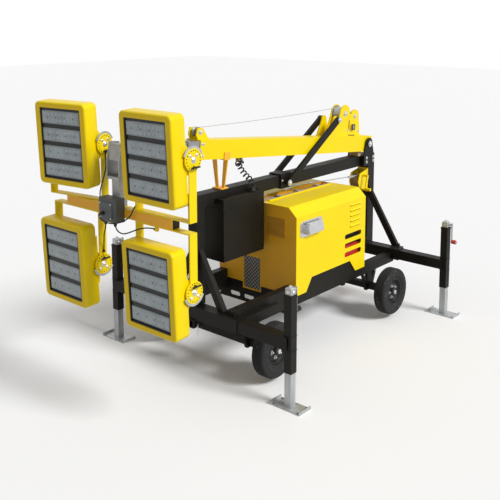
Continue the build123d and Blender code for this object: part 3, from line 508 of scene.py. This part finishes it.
def yoke_trim():
    discs = Piece("yoke_discs", "mast_inner", yellow, "yellow_paint")
    scales = Piece("yoke_scales", "mast_inner", zinc, "galvanised")
    holes = Piece("yoke_holes", "mast_inner", dark, "black_paint")
    bolts = Piece("yoke_bolts", "mast_inner", steel, "galvanised")
    levers = Piece("yoke_levers", "mast_inner", sheath, "black_paint")
    arc = [(scale_r[0], a) for a in range(-scale_deg, scale_deg + 1, 10)]
    arc += [(scale_r[1], a) for a in range(scale_deg, -scale_deg - 1, -10)]
    for tag in lamp_tags:
        at = lamp_frame(tag, 0.0)
        up = 1 if tag[0] == "u" else -1
        for s in (-1, 1):
            out = at @ place((s * yoke_x, 0, 0), (0, 1, 0), (s, 0, 0))
            discs.turned([(disc_r, 0), (disc_r, 0.004), (disc_r - 0.0015, disc_t)], out, 40)
            scale = [(up * r * cos(radians(a)), r * sin(radians(a))) for r, a in arc]
            scales.prism(scale, *scale_z, out)
            for x, y in oval(hole_circle, hole_circle, hole_count):
                holes.turned([(0.0038, 0), (0.0038, 0.0006)], out @ shift(x, y, disc_t - 0.0001), 8)
            bolts.bolt(out @ shift(0, 0, disc_t), 0.013, 0.010)
            for y in (-bolt_off, bolt_off):
                bolts.bolt(out @ shift(up * bolt_off, y, disc_t), 0.007, 0.005)
            x = -up * lever_off
            levers.rod(out @ Vector((x, 0, disc_t)), out @ Vector((x, 0, lever_out)), 0.006, 12)
            levers.rod(*[out @ Vector((x, y, lever_out)) for y in lever_ends], 0.0055, 12)
    done_all(discs, scales, holes, bolts, levers)


for tag in lamp_tags:
    lamp_body(tag)
    lamp_window(tag)
yoke_trim()

# Wheels: ribbed tyres on dished rims with bare nuts; profiles are (radius, place along the axle)
nut_count = 5
nut_circle = 0.046
rim_window_circle = 0.0655
tyre_profile = [
    (0.1035, 0.030), (0.112, 0.036), (0.122, 0.043), (0.136, 0.047), (0.139, 0.0485), (0.143, 0.0475),
    (0.158, 0.0488), (0.170, 0.0475), (0.173, 0.0485), (0.178, 0.0460), (0.184, 0.0400), (0.187, 0.034)]
groove_r = 0.1832
tread_r = 0.1878
ribs = ((0.0300, 0.0225), (0.0180, 0.0085), (0.0040, -0.0040), (-0.0085, -0.0180), (-0.0225, -0.0300))
rim_profile = [
    (0.1105, 0.0375), (0.1105, 0.0345), (0.1035, 0.0320), (0.1010, 0.0250), (0.0880, 0.0180),
    (0.0880, -0.0180), (0.1010, -0.0250), (0.1035, -0.0320), (0.1105, -0.0345), (0.1105, -0.0375),
    (0.0985, -0.0350), (0.0955, -0.0250), (0.0830, -0.0190), (0.0830, 0.0030), (0.0700, 0.0060),
    (0.0560, 0.0140), (0.0180, 0.0140), (0.0180, 0.0200), (0.0580, 0.0200), (0.0730, 0.0120),
    (0.0830, 0.0100), (0.0955, 0.0250), (0.0985, 0.0350)]
hub_profile = [
    (0.0170, -0.044), (0.0300, -0.044), (0.0320, -0.040), (0.0320, 0.024), (0.0290, 0.036), (0.0170, 0.040)]
hub_cap_profile = [(0.0165, 0.037), (0.0175, 0.044), (0.0150, 0.050), (0.0060, 0.053)]


def wheel(tag):
    at = place(joints[f"wheel_{tag}"]["pos_m"], (1, 0, 0), (0, side_sign[tag[1]], 0))
    body = f"wheel_{tag}"
    tread = []
    for a, b in ribs:
        tread += [(groove_r, a + 0.0008), (tread_r, a), (tread_r, b), (groove_r, b - 0.0008)]
    other_half = [(r, -y) for r, y in reversed(tyre_profile)]
    tyre = Piece(f"tyre_ribbed_{tag}", body, rubber, "tyre", smooth=30)
    tyre.turned(tyre_profile + tread + other_half, at, 72, closed=True)
    tyre.done(f"tyre_{tag}")
    rim = Piece(f"rim_dished_{tag}", body, rim_black, "rim")
    rim.turned(rim_profile, at, 48, closed=True)
    rim.turned(hub_profile, at, 32, closed=True)
    nuts = Piece(f"wheel_nuts_{tag}", body, steel, "crank_steel")
    shades = Piece(f"rim_windows_{tag}", body, dark, "rim")
    for x, y in oval(nut_circle, nut_circle, nut_count):
        nuts.bolt(at @ shift(x, y, 0.0200), 0.0085, 0.010)
    for k in range(nut_count):
        between = Matrix.Rotation(2 * pi * (k + 0.5) / nut_count, 4, "Z")
        spot = between @ shift(rim_window_circle, 0, 0.0130) @ Matrix.Rotation(pi / 2, 4, "Z")
        shades.prism(oval(0.0095, 0.0065, 14), 0, 0.0042, at @ spot)
    nuts.turned(hub_cap_profile, at, 20)
    nuts.rod(at @ Vector((0.0880, 0, 0.0200)), at @ Vector((0.0820, 0, 0.0440)), 0.003, 8)
    rim.done(f"rim_{tag}")
    done_all(nuts, shades)


for tag in corner_tags:
    wheel(tag)

# Cords: the lamps' cables and the coiled supply cord, on the routes that the solids have
cable_d = 0.008
cables = {
    "cable_ul": (0.418, [
        (1.487, -0.020, 1.262), (1.525, -0.020, 1.262), (1.548, 0.006, 1.252), (1.548, 0.048, 1.232),
        (1.522, 0.096, 1.218), (1.478, 0.138, 1.228), (1.434, 0.162, 1.256), (1.420, 0.166, 1.290),
        (1.377, 0.167, 1.340), (1.377, 0.167, 1.372)]),
    "cable_ur": (0.347, [
        (1.430, -0.079, 1.318), (1.430, -0.113, 1.318), (1.422, -0.138, 1.338), (1.408, -0.148, 1.378),
        (1.380, -0.152, 1.436), (1.352, -0.158, 1.500), (1.3437, -0.1693, 1.554), (1.3437, -0.1693, 1.604)]),
    "cable_ll": (0.370, [
        (1.450, 0.040, 1.205), (1.450, 0.040, 1.173), (1.444, 0.060, 1.146), (1.434, 0.096, 1.136),
        (1.420, 0.150, 1.158), (1.408, 0.214, 1.188), (1.404, 0.296, 1.208), (1.404, 0.350, 1.208)]),
    "cable_lr": (0.293, [
        (1.450, -0.050, 1.205), (1.450, -0.050, 1.161), (1.436, -0.088, 1.108), (1.398, -0.136, 1.064),
        (1.377, -0.167, 1.006), (1.377, -0.167, 0.962)]),
}
coil_route = [
    (0.330, 0.050, 1.449), (0.335, 0.050, 1.399), (0.300, 0.070, 1.334), (0.244, 0.088, 1.280),
    (0.226, 0.088, 1.238), (0.226, 0.088, 1.1963)]
coil_r = 0.018
coil_d = 0.010
coil_turns = 9
steps_a_turn = 14
easing_steps = 9


def nurbs(name, points, diameter=0.0):
    """Smooth line with the route's points as its control points."""
    curve = bpy.data.curves.new(name, "CURVE")
    curve.dimensions = "3D"
    line = curve.splines.new("NURBS")
    line.points.add(len(points) - 1)
    for control, point in zip(line.points, points):
        control.co = (*point, 1)
    line.order_u = 3
    line.use_endpoint_u = True
    line.resolution_u = 12
    curve.bevel_depth = diameter / 2
    curve.bevel_resolution = 3
    curve.use_fill_caps = diameter > 0
    cable = bpy.data.objects.new(name, curve)
    scene.collection.objects.link(cable)
    return cable


def cord(name, node, body, points, diameter):
    cable = nurbs(name, points, diameter)
    cable.data.materials.append(sheath)
    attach(cable, body)
    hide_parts(node)


def line_points(points):
    """The points of the smooth line through a route, from a curve that isn't kept."""
    curve = nurbs("route", points)
    mesh = bpy.data.meshes.new_from_object(curve)
    found = [vertex.co.copy() for vertex in mesh.vertices]
    bpy.data.objects.remove(curve)
    return found


def helix(points, radius, turns):
    """Turns round a route's smooth line, starting and ending on it."""
    line = line_points(points)
    reached = [0.0]
    for a, b in zip(line, line[1:]):
        reached.append(reached[-1] + (b - a).length)
    normal = Vector((0, 1, 0))
    wound = []
    count = turns * steps_a_turn
    run = 0
    for i in range(count + 1):
        along = reached[-1] * i / count
        while run < len(line) - 2 and reached[run + 1] < along:
            run += 1
        a, b = line[run], line[run + 1]
        ahead = (b - a).normalized()
        centre = a + (b - a) * ((along - reached[run]) / (reached[run + 1] - reached[run]))
        normal = (normal - normal.dot(ahead) * ahead).normalized()
        side = ahead.cross(normal)
        turn = 2 * pi * i / steps_a_turn
        r = radius * min(1, i / easing_steps, (count - i) / easing_steps)
        wound.append(centre + r * (cos(turn) * normal + sin(turn) * side))
    return wound


for node, (length, points) in cables.items():
    cord(f"{node}_flex", node, "mast_inner", points, cable_d)
cord("cord_curly", "cord_coiled", "mast_outer", helix(coil_route, coil_r, coil_turns),
     coil_d)

# Glands where the lamps' cables leave the junction box, and smaller ones where they end on the yokes
gland_profile = ((0.0140, -0.002), (0.0140, 0.009), (0.0105, 0.010), (0.0100, 0.020), (0.0062, 0.028))
yoke_gland_share = 0.6


def glands():
    cones = Piece("cable_glands", "mast_inner", sheath, "cable_black")
    for length, points in cables.values():
        ends = ((points[0], points[1], 1.0), (points[-1], points[-2], yoke_gland_share))
        for root, following, share in ends:
            out = (Vector(following) - Vector(root)).normalized()
            side = (0, 1, 0) if abs(out.y) < 0.5 else (1, 0, 0)
            profile = [(r * share + 0.0015 * (1 - share), z * share) for r, z in gland_profile]
            cones.turned(profile, place(root, side, out), 20)
    cones.done()


# Junction box: a raised lid with a screw near each corner
lid_w = 0.118
lid_h = 0.108
lid_corner = 0.020
lid_screw_x = 0.050
lid_screw_y = 0.044


def junction_lid():
    lo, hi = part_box("junction_box")
    at = facing_front(hi.x - 0.0005, 0, (lo.z + hi.z) / 2)
    lid = Piece("junction_lid", "mast_inner", box_grey, "grey_plastic")
    lid.loops([level(rounded(lid_w - 2 * inset, lid_h - 2 * inset, lid_corner - inset), z)
               for inset, z in ((0.0, 0.0), (0.0, 0.004), (0.002, 0.006))], at)
    screws = Piece("junction_screws", "mast_inner", steel, "galvanised")
    for x in (-lid_screw_x, lid_screw_x):
        for y in (-lid_screw_y, lid_screw_y):
            screws.turned([(0.0045, 0.0055), (0.0045, 0.0075), (0.003, 0.0082)], at @ shift(x, y, 0), 12)
    done_all(lid, screws)


# Crossbar: a thin skin of yellow in painted shade on its front face, and end caps
bar_x = 1.377
bar_z = 1.259
bar_face = bar_x + 0.030
bar_end = 0.495
front_shade_half = 0.0285
cap_half = 0.0275


def crossbar_faces():
    front_shade = Piece("crossbar_skin", "mast_inner", shaded_yellow, "yellow_paint")
    front_shade.box(bar_face - 0.0002, bar_face + 0.0008, -bar_end, bar_end, bar_z - front_shade_half, bar_z + front_shade_half)
    caps = Piece("crossbar_caps", "mast_inner", sheath, "black_paint")
    for s in (-1, 1):
        caps.box(bar_x - cap_half, bar_x + cap_half, *span(s, bar_end - 0.0050, bar_end + 0.0035),
                 bar_z - cap_half, bar_z + cap_half, edge=0.003)
    done_all(front_shade, caps)


glands()
junction_lid()
crossbar_faces()

# Mast: places on it are (along it from the tilting hinge, up from its axis)
mast_root = Vector(joints["mast_tilt"]["pos_m"])
mast_dir = Vector(joints["mast_mid_slide"]["axis"]).normalized()
mast_up = mast_dir.cross(Vector((0, 1, 0)))
drum_spot = (0.355, 0.255)
gear_spot = (0.205, 0.235)
pinion_spot = (0.262, 0.180)
socket_spot = (0.241, 0.144)
sheave_spot = (2.066, 0.118)
winch_plate_y = 0.048
socket_y = 0.062
mast_side_y = 0.0665
flange_y = 0.0388
flange_t = 0.0015
drum_grooves = 17
groove_pitch = 0.0044
tooth_depth = 0.005
rope_steps = 12
rope_sag = 0.010
bolt_rows = (
    (drum_spot, winch_plate_y, 0.017), (gear_spot, winch_plate_y, 0.014),
    ((0.140, 0.110), winch_plate_y, 0.008), ((0.440, 0.110), winch_plate_y, 0.008),
    ((0.300, 0.120), winch_plate_y, 0.008), ((0.510, 0.208), 0.104, 0.015), (sheave_spot, 0.040, 0.013))


def mast_at(spot, y=0.0):
    """Frame with its z to the left across the mast, x along it and y down, square to it."""
    along, up = spot
    return place(mast_root + along * mast_dir + up * mast_up + Vector((0, y, 0)), mast_dir, (0, 1, 0))


def toothed(r, teeth):
    """Outline of a gear: each tooth takes two of its four points."""
    outline = []
    for k in range(teeth * 4):
        a = 2 * pi * k / (teeth * 4)
        reach = r if k % 4 < 2 else r - tooth_depth
        outline.append((reach * cos(a), reach * sin(a)))
    return outline


def mast_winch():
    drum = Piece("winch_rope_drum", "mast_outer", rope_steel, "galvanised", smooth=70)
    grooves = []
    for k in range(drum_grooves):
        y = -0.0375 + k * groove_pitch
        grooves += [(0.0520, y), (0.0548, y + 0.0012), (0.0548, y + 0.0030), (0.0520, y + 0.0043)]
    drum.turned(grooves, mast_at(drum_spot), 32)
    gears = Piece("winch_gears", "mast_outer", dull_steel, "mast_steel")
    for spot, r, teeth in ((gear_spot, 0.050, 28), (pinion_spot, 0.022, 12)):
        gears.prism(toothed(r, teeth), 0.0245, 0.0345, mast_at(spot))
    for s in (-1, 1):
        gears.turned([(0.066, 0.0), (0.066, flange_t)], mast_at(drum_spot, s * flange_y - flange_t / 2), 36)
    # Black plate round the drive's hole, and a dark line at the plate's foot
    socket = Piece("winch_socket", "mast_outer", sheath, "black_paint")
    socket.box(-0.0240, 0.0240, -0.0250, 0.0230, 0.0, 0.0045, mast_at(socket_spot, socket_y - 0.0004))
    socket.box(-0.0480, 0.0480, 0.0, 0.0060, 0.0, 0.0030, mast_at((0.240, 0.078), winch_plate_y - 0.0005))
    drive = Piece("winch_drive", "mast_outer", dull_steel, "mast_steel")
    drive.box(-0.0150, 0.0150, -0.0160, 0.0140, 0.0, 0.0020, mast_at(socket_spot, socket_y + 0.0040))
    # Brown patches on the winch plate: painted shadows
    shadow_patches = Piece("winch_pawls", "mast_outer", rope_brown, "galvanised")
    for along, rise, fall in ((0.196, 0.0120, 0.0120), (0.288, 0.0560, 0.0300)):
        spot = (along, socket_spot[1])
        shadow_patches.box(-0.0055, 0.0055, -rise, fall, 0.0, 0.0030, mast_at(spot, winch_plate_y - 0.0005))
    done_all(drum, gears, socket, drive, shadow_patches)


def mast_dressing():
    bolts = Piece("mast_bolts", "mast_outer", steel, "galvanised")
    for s in (-1, 1):
        flip = Matrix() if s > 0 else Matrix.Rotation(pi, 4, "X")
        for spot, y, r in bolt_rows:
            bolts.bolt(mast_at(spot, s * y) @ flip, r, r * 0.7)
        for along in (2.056, 2.072):
            for up in (-0.040, 0.040):
                bolts.bolt(mast_at((along, up), s * mast_side_y) @ flip, 0.007, 0.005)
    sheave = Piece("mast_sheave", "mast_outer", dull_steel, "mast_steel")
    sheave.turned([(0.033, -0.012), (0.033, -0.009), (0.026, -0.003), (0.026, 0.003), (0.033, 0.009),
                   (0.033, 0.012)], mast_at(sheave_spot), 32)
    sheave.rod(mast_at(sheave_spot, -0.042).translation, mast_at(sheave_spot, 0.042).translation, 0.009)
    # The rope leaves the top of the drum and sags a little on its way over the sheave
    rope = Piece("mast_rope", "mast_outer", rope_steel, "galvanised")
    start = mast_at((drum_spot[0], drum_spot[1] + 0.053)).translation
    end = mast_at((sheave_spot[0] - 0.004, sheave_spot[1] + 0.028)).translation
    shares = [k / rope_steps for k in range(rope_steps + 1)]
    rope.tube([start.lerp(end, t) - Vector((0, 0, rope_sag * 4 * t * (1 - t))) for t in shares], 0.0025, 8)
    done_all(bolts, sheave, rope)


# Mast frame and tilting linkage: bolts and pins, and the tilting winch's drum and rope
pivot_bolt_y = 0.092
clevis_bolts = (0.084, (-1.405, -1.300), (1.190, 1.225))
axle_bolt_x = 0.085
axle_bolt_y = 0.332
axle_bolt_z = 0.333
winch_bolts = (-1.3718, (-0.036, 0.036), (0.935, 1.100))
carriage_x = -0.202
carriage_bolt_x = 0.042
strut_z = 1.187
tilt_drum = (-1.295, 0, 1.018)
tilt_grooves = 12
tilt_groove_pitch = 0.0066
tilt_rope_y = 0.012
tilt_rope_half = 0.009
tilt_rope_line = ((-1.262, 1.066), (-1.000, 1.083), (-0.700, 1.103), (-0.256, 1.1375))


def frame_bolts():
    bolts = Piece("frame_bolts", "chassis", steel, "galvanised")
    clevis_y, clevis_x, clevis_z = clevis_bolts
    for s in (-1, 1):
        bolts.bolt(facing_side(mast_root.x, pivot_bolt_y, mast_root.z, s), 0.018, 0.010)
        for x in clevis_x:
            for z in clevis_z:
                bolts.bolt(facing_side(x, clevis_y, z, s), 0.009, 0.006)
    for tag in corner_tags:
        axle_x = joints[f"wheel_{tag}"]["pos_m"][0]
        for x in (axle_x - axle_bolt_x, axle_x + axle_bolt_x):
            bolts.bolt(facing_side(x, axle_bolt_y, axle_bolt_z, side_sign[tag[1]]), 0.008, 0.006)
    winch_x, winch_y, winch_z = winch_bolts
    for y in winch_y:
        for z in winch_z:
            bolts.bolt(facing_front(winch_x, y, z), 0.008, 0.006)
    bolts.done()


def linkage():
    carriage = Piece("carriage_bolts", "carriage", steel, "galvanised")
    pins = Piece("strut_pins", "struts", steel, "galvanised")
    for s in (-1, 1):
        for x in (carriage_x - carriage_bolt_x, carriage_x + carriage_bolt_x):
            carriage.bolt(facing_side(x, 0.058, 1.205, s), 0.007, 0.005)
        pins.bolt(facing_side(carriage_x, 0.098, strut_z, s), 0.016, 0.010)
    # Lug under the carriage that the tilting rope ends on
    carriage.box(-0.262, -0.246, tilt_rope_y - tilt_rope_half, tilt_rope_y + tilt_rope_half, 1.1325, 1.1432)
    drum = Piece("tilt_rope_drum", "chassis", rope_brown, "galvanised", smooth=70)
    grooves = []
    for k in range(tilt_grooves):
        y = -0.0400 + k * tilt_groove_pitch
        grooves += [(0.0560, y), (0.0590, y + 0.0018), (0.0590, y + 0.0044), (0.0560, y + 0.0064)]
    profile = [(0.0300, -0.0410), *grooves, (0.0300, 0.0410)]
    drum.turned(profile, place(tilt_drum, (1, 0, 0), (0, 1, 0)), 32)
    done_all(carriage, pins, drum)


def tilt_rope():
    """Rope to the carriage, with its clamp."""
    rope = Piece("tilt_rope", "chassis", rope_steel, "galvanised")
    points = [(x, tilt_rope_y, z) for x, z in tilt_rope_line]
    rope.tube(points, 0.004, 8)
    rope.box(-1.215, -1.130, tilt_rope_y - tilt_rope_half, tilt_rope_y + tilt_rope_half, 1.064, 1.080,
             edge=0.003)
    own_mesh(rope.done())


mast_winch()
mast_dressing()
frame_bolts()
linkage()
tilt_rope()

# Canopy: latches, louvre lips, what shows through the slots, and the roof trough's contents
canopy_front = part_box("canopy")[1].x
door_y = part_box("door_left")[1].y
engine_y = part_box("engine_block")[1].y - 0.0005
paddle_z = 0.914
paddle_root = 0.008
paddle_profile = (
    (0.874, 0.008), (0.876, 0.040), (0.884, 0.050), (0.940, 0.038), (0.956, 0.022), (0.958, 0.008))
paddle_parts = ((-0.196, -0.020, 1.0), (-0.020, -0.012, 0.82), (-0.206, -0.196, 0.82))
louvre_x = (-0.760, -0.615)
louvre_top = 0.974
louvre_pitch = 0.042
louvre_count = 5
lip_profile = ((0.014, -0.0005), (0.003, 0.0075), (0.0015, 0.0075), (0.0065, -0.0005))
knuckle_x = (-0.70, -0.38, -0.06)
knuckle_half = 0.045
bay_x = (-0.785, -0.535)
panel_y = 0.1905
panel_z = 0.917
panel_half_w = 0.0815
panel_half_h = 0.071


def latch(tag, s):
    """Chrome paddle between two lower ends, its lock button, and the keeper's screws."""
    paddle = Piece(f"latch_paddle_{tag}", f"door_{tag}", chrome, "latch_chrome")
    for x0, x1, share in paddle_parts:
        outline = []
        for z, out in paddle_profile:
            y = s * (door_y + paddle_root + (out - paddle_root) * share)
            outline.append((y, paddle_z + (z - paddle_z) * share))
        paddle.loops([[(x, y, z) for y, z in outline] for x in (x0, x1)])
    paddle.rod((-0.030, s * (door_y + 0.030), 0.948), (-0.030, s * (door_y + 0.036), 0.958), 0.007)
    screws = Piece(f"latch_screws_{tag}", f"door_{tag}", steel, "galvanised")
    for x in (-0.218, 0.018):
        for z in (0.868, 0.962):
            screws.bolt(facing_side(x, door_y + 0.004, z, s), 0.005, 0.003)
    done_all(paddle, screws)


def louvres(tag, s):
    lips = Piece(f"louvre_lips_{tag}", f"door_{tag}", yellow, "yellow_paint")
    for i in range(louvre_count):
        foot = louvre_top - i * louvre_pitch
        lips.loops([[(x, s * (door_y + out), foot + rise) for rise, out in lip_profile] for x in louvre_x])
    lips.done()


def knuckles(tag):
    x, y, z = joints[f"door_{tag}_hinge"]["pos_m"]
    hinges = Piece(f"hinge_knuckles_{tag}", f"door_{tag}", steel, "galvanised")
    for middle in knuckle_x:
        hinges.rod((middle - knuckle_half, y, z), (middle + knuckle_half, y, z), 0.0065, 14)
    hinges.done()


def engine_bay(tag, s):
    """Red tank, and above it a near-black block of painted shade for the bay's inside, on the engine's side, which
    the door's slots show.
    """
    tank = Piece(f"fuel_tank_{tag}", "chassis", red, "engine")
    tank.box(*bay_x, *span(s, engine_y, 0.352), 0.548, 0.652, edge=0.010)
    slot_shade = Piece(f"slot_shade_box_{tag}", "chassis", dark, "engine")
    slot_shade.box(*bay_x, *span(s, engine_y, 0.345), 0.654, 0.905, edge=0.010)
    done_all(tank, slot_shade)


def front_panel():
    """Blank panel on the canopy's front face, beside the cable box, in a deeper painted shade of the yellow."""
    panel = Piece("front_panel", "chassis", deeper_shaded_yellow, "yellow_paint")
    at = facing_front(canopy_front - 0.0002, panel_y, panel_z)
    panel.box(-panel_half_w, panel_half_w, -panel_half_h, panel_half_h, 0.0, 0.0020, at, edge=0.0010)
    panel.done()


# Roof trough: two boards and zinc rails on the canopy's trough floor
trough_floor = 1.0430


def trough():
    boards = Piece("trough_board", "chassis", sandy, "pad")
    boards.box(-0.815, 0.062, -0.056, -0.004, trough_floor, 1.0560, edge=0.002)
    boards.box(-0.150, 0.066, -0.056, 0.056, 1.0565, 1.0700, edge=0.003)
    rails = Piece("trough_rails", "chassis", zinc, "galvanised")
    for y in (0.008, 0.026, 0.044):
        rails.box(-0.800, -0.160, y - 0.006, y + 0.006, trough_floor, 1.0660, edge=0.002)
    for x in (-0.72, -0.46, -0.22):
        rails.box(x - 0.012, x + 0.012, -0.058, 0.058, 1.0600, 1.0690, edge=0.002)
    done_all(boards, rails)


for tag, s in (("left", 1), ("right", -1)):
    latch(tag, s)
    louvres(tag, s)
    knuckles(tag)
    engine_bay(tag, s)
front_panel()
trough()

# Cable box: its seams and screws, the conduits' boots, and the glands and clamp of the coiled cord
box_lo, box_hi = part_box("cable_box")
seam_w = 0.004
seam_out = 0.0015
lid_seam_z = 1.128
foot_seam_z = 0.768
corner_strip_w = 0.008
boot_ribs = 6
boot_pitch = 0.007
coil_top = Vector(coil_route[0])


def cable_box():
    seams = Piece("cable_box_seams", "chassis", sheet_black, "black_sheet")
    for z in (lid_seam_z, foot_seam_z):
        seams.box(box_lo.x - seam_out, box_hi.x + seam_out, box_lo.y - seam_out, box_hi.y + seam_out,
                  z, z + seam_w, edge=0.001)
    for s in (-1, 1):
        strip_y = span(s, box_hi.y, box_hi.y + 0.001)
        for x in (box_lo.x, box_hi.x - corner_strip_w):
            seams.box(x, x + corner_strip_w, *strip_y, foot_seam_z + seam_w, lid_seam_z)
    screws = Piece("cable_box_screws", "chassis", sheet_black, "black_sheet")
    for x in (box_lo.x + 0.018, box_hi.x - 0.018):
        for z in (0.790, 1.108):
            for s in (-1, 1):
                screws.bolt(facing_side(x, box_hi.y, z, s), 0.0045, 0.003)
    boots = Piece("conduit_boots", "chassis", sheath, "cable_black", smooth=60)
    for y in (-0.068, -0.100):
        profile = [(0.017, -0.002)]
        for k in range(boot_ribs):
            out = k * boot_pitch
            profile += [(0.022, out + 0.003), (0.022, out + 0.006), (0.017, out + 0.008)]
        boots.turned([*profile, (0.010, 0.052)], facing_front(box_hi.x + 0.001, y, 1.172), 24)
    # Gland that the coiled cord goes into
    x, y, z = coil_route[-1]
    boots.turned([(0.030, 0.0), (0.030, 0.006), (0.022, 0.008), (0.020, 0.022), (0.012, 0.026)],
                 shift(x, y, box_hi.z - 0.0005), 24)
    done_all(seams, screws, boots)


def coil_anchor():
    """Gland at the coiled cord's top, two spare loops of cord, and the brown clamp on the mast."""
    anchor = Piece("coil_anchor", "mast_outer", sheath, "cable_black")
    anchor.turned([(0.020, -0.001), (0.020, 0.010), (0.013, 0.012), (0.012, 0.026), (0.009, 0.030)],
                  place(coil_top, (0, 1, 0), -mast_up), 20)
    root = coil_top + Vector((-0.008, 0, -0.015))
    across = Vector((0, 1, 0))
    turns = [2 * pi * k / 18 for k in range(19)]
    for r, tip in ((0.024, 0.5), (0.020, -0.8)):
        down = Vector((sin(tip), 0, -cos(tip)))
        anchor.tube([root + r * ((1 - cos(a)) * down + sin(a) * across) for a in turns], coil_d / 2, 8)
    clamp = Piece("coil_clamp", "mast_outer", rope_brown, "galvanised")
    clamp.box(-0.028, 0.020, -0.016, 0.016, -0.019, 0.0065, shift(*coil_top), edge=0.004)
    done_all(anchor, clamp)


cable_box()
coil_anchor()

# Jacks: cranks' grips, bolts on the caps, collars and bands on the tubes, and holes in the foot plates
end_words = {"f": "front", "r": "rear"}
side_words = {"l": "left", "r": "right"}
crank_dir = {"fl": (-1, 0), "fr": (-1, 0), "rl": (0, 1), "rr": (0, -1)}
crank_reach = 0.056
grip_z = 0.623
cap_side_z = 0.758
cap_top_z = 0.784
cap_face = 0.024
collar_half = 0.032
collar_z = (0.7235, 0.7385)
band_half = 0.0315
band_h = 0.004
band_z = (0.376, 0.470)
hole_off_x = 0.045
hole_off_y = 0.095
grip_profile = (
    (0.0150, 0.0), (0.0175, 0.004), (0.0160, 0.014), (0.0180, 0.030), (0.0160, 0.0375), (0.006, 0.0395))


def square_about(x, y, half):
    return (x - half, x + half, y - half, y + half)


def jack(tag):
    x, y, z = mounts[f"foot_{end_words[tag[0]]}_{side_words[tag[1]]}"]["pos_m"]
    out_x, out_y = crank_dir[tag]
    grip = Piece(f"crank_grip_{tag}", f"arm_{tag}", red if tag[0] == "r" else sheath, "crank_steel")
    crank_end = (x + crank_reach * out_x, y + crank_reach * out_y, grip_z)
    grip.turned(grip_profile, place(crank_end, (0, 0, 1), (out_x, out_y, 0)), 20)
    cap = Piece(f"jack_cap_{tag}", f"arm_{tag}", steel, "crank_steel")
    cap.bolt(shift(x, y, cap_top_z), 0.012, 0.008)
    for side in ((1, 0), (-1, 0), (0, 1), (0, -1)):
        if side != crank_dir[tag]:
            spot = (x + cap_face * side[0], y + cap_face * side[1], cap_side_z)
            cap.bolt(place(spot, (0, 0, 1), (*side, 0)), 0.007, 0.005)
    collar = Piece(f"jack_collar_{tag}", f"arm_{tag}", black, "black_paint")
    collar.box(*square_about(x, y, collar_half), *collar_z, edge=0.003)
    for foot in band_z:
        collar.box(*square_about(x, y, band_half), foot, foot + band_h)
    holes = Piece(f"foot_holes_{tag}", f"leg_{tag}", dark, "galvanised")
    for dx in (-hole_off_x, hole_off_x):
        for dy in (-hole_off_y, hole_off_y):
            holes.turned([(0.007, 0.0055), (0.007, 0.0064)], shift(x + dx, y + dy, 0), 14)
    done_all(grip, cap, collar, holes)


def hanging_pin():
    """Lock pin that hangs on a wire ring by the tow receiver's hole."""
    x = mounts["tow_pin_hole"]["pos_m"][0]
    pin = Piece("hanging_pin", "chassis", steel, "galvanised")
    turns = [2 * pi * k / 16 for k in range(17)]
    pin.tube([(x, 0.040 + 0.010 * sin(a), 0.334 + 0.012 * cos(a)) for a in turns], 0.0016, 8)
    pin.rod((x, 0.041, 0.325), (x, 0.045, 0.262), 0.0035, 10)
    pin.turned([(0.0075, 0.0), (0.0075, 0.006)], shift(x, 0.041, 0.322), 12)
    pin.done()


for tag in corner_tags:
    jack(tag)
hanging_pin()


# Floor, light and background: white where they are looked at, softer on the object
def looked_at(tree):
    """One where the camera sees a thing, straight, mirrored or through glass, and nought for its light."""
    ray = tree.nodes.new("ShaderNodeLightPath")
    straight = tree.nodes.new("ShaderNodeMath")
    straight.operation = "MAXIMUM"
    tree.links.new(ray.outputs["Is Camera Ray"], straight.inputs[0])
    tree.links.new(ray.outputs["Is Glossy Ray"], straight.inputs[1])
    through = tree.nodes.new("ShaderNodeMath")
    through.operation = "MAXIMUM"
    tree.links.new(straight.outputs[0], through.inputs[0])
    tree.links.new(ray.outputs["Is Transmission Ray"], through.inputs[1])
    return through.outputs[0]


floor_half = 30.0
floor_paint = mat("floor", (1.0, 1.0, 1.0), 0.9)
floor_tree = floor_paint.node_tree
tones = floor_tree.nodes.new("ShaderNodeMixRGB")
tones.inputs["Color1"].default_value = (0.52, 0.52, 0.52, 1)
tones.inputs["Color2"].default_value = (1.0, 1.0, 1.0, 1)
floor_tree.links.new(looked_at(floor_tree), tones.inputs["Fac"])
floor_tree.links.new(tones.outputs["Color"], floor_tree.nodes["Principled BSDF"].inputs["Base Color"])
floor_mesh = bpy.data.meshes.new("floor")
floor_corners = [(floor_half * x, floor_half * y, 0) for x, y in ((-1, -1), (1, -1), (1, 1), (-1, 1))]
floor_mesh.from_pydata(floor_corners, [], [(0, 1, 2, 3)])
floor_mesh.materials.append(floor_paint)
floor = bpy.data.objects.new("floor", floor_mesh)
scene.collection.objects.link(floor)

world = bpy.data.worlds.new("world")
scene.world = world
world.use_nodes = True
world_tree = world.node_tree
soft = world_tree.nodes["Background"]
soft.inputs["Color"].default_value = (1, 1, 1, 1)
soft.inputs["Strength"].default_value = 0.38
seen = world_tree.nodes.new("ShaderNodeBackground")
seen.inputs["Color"].default_value = (1, 1, 1, 1)
seen.inputs["Strength"].default_value = 1.0
mixed = world_tree.nodes.new("ShaderNodeMixShader")
world_tree.links.new(looked_at(world_tree), mixed.inputs["Fac"])
world_tree.links.new(soft.outputs[0], mixed.inputs[1])
world_tree.links.new(seen.outputs[0], mixed.inputs[2])
world_tree.links.new(mixed.outputs[0], world_tree.nodes["World Output"].inputs["Surface"])

sun_data = bpy.data.lights.new("key", "SUN")
sun_data.energy = 2.7
sun_data.angle = 0.35
sun = bpy.data.objects.new("key", sun_data)
sun.rotation_mode = "QUATERNION"
sun.rotation_quaternion = Vector((0.10, -0.75, -0.62)).to_track_quat("-Z", "Y")
scene.collection.objects.link(sun)
scene.view_settings.view_transform = "Standard"
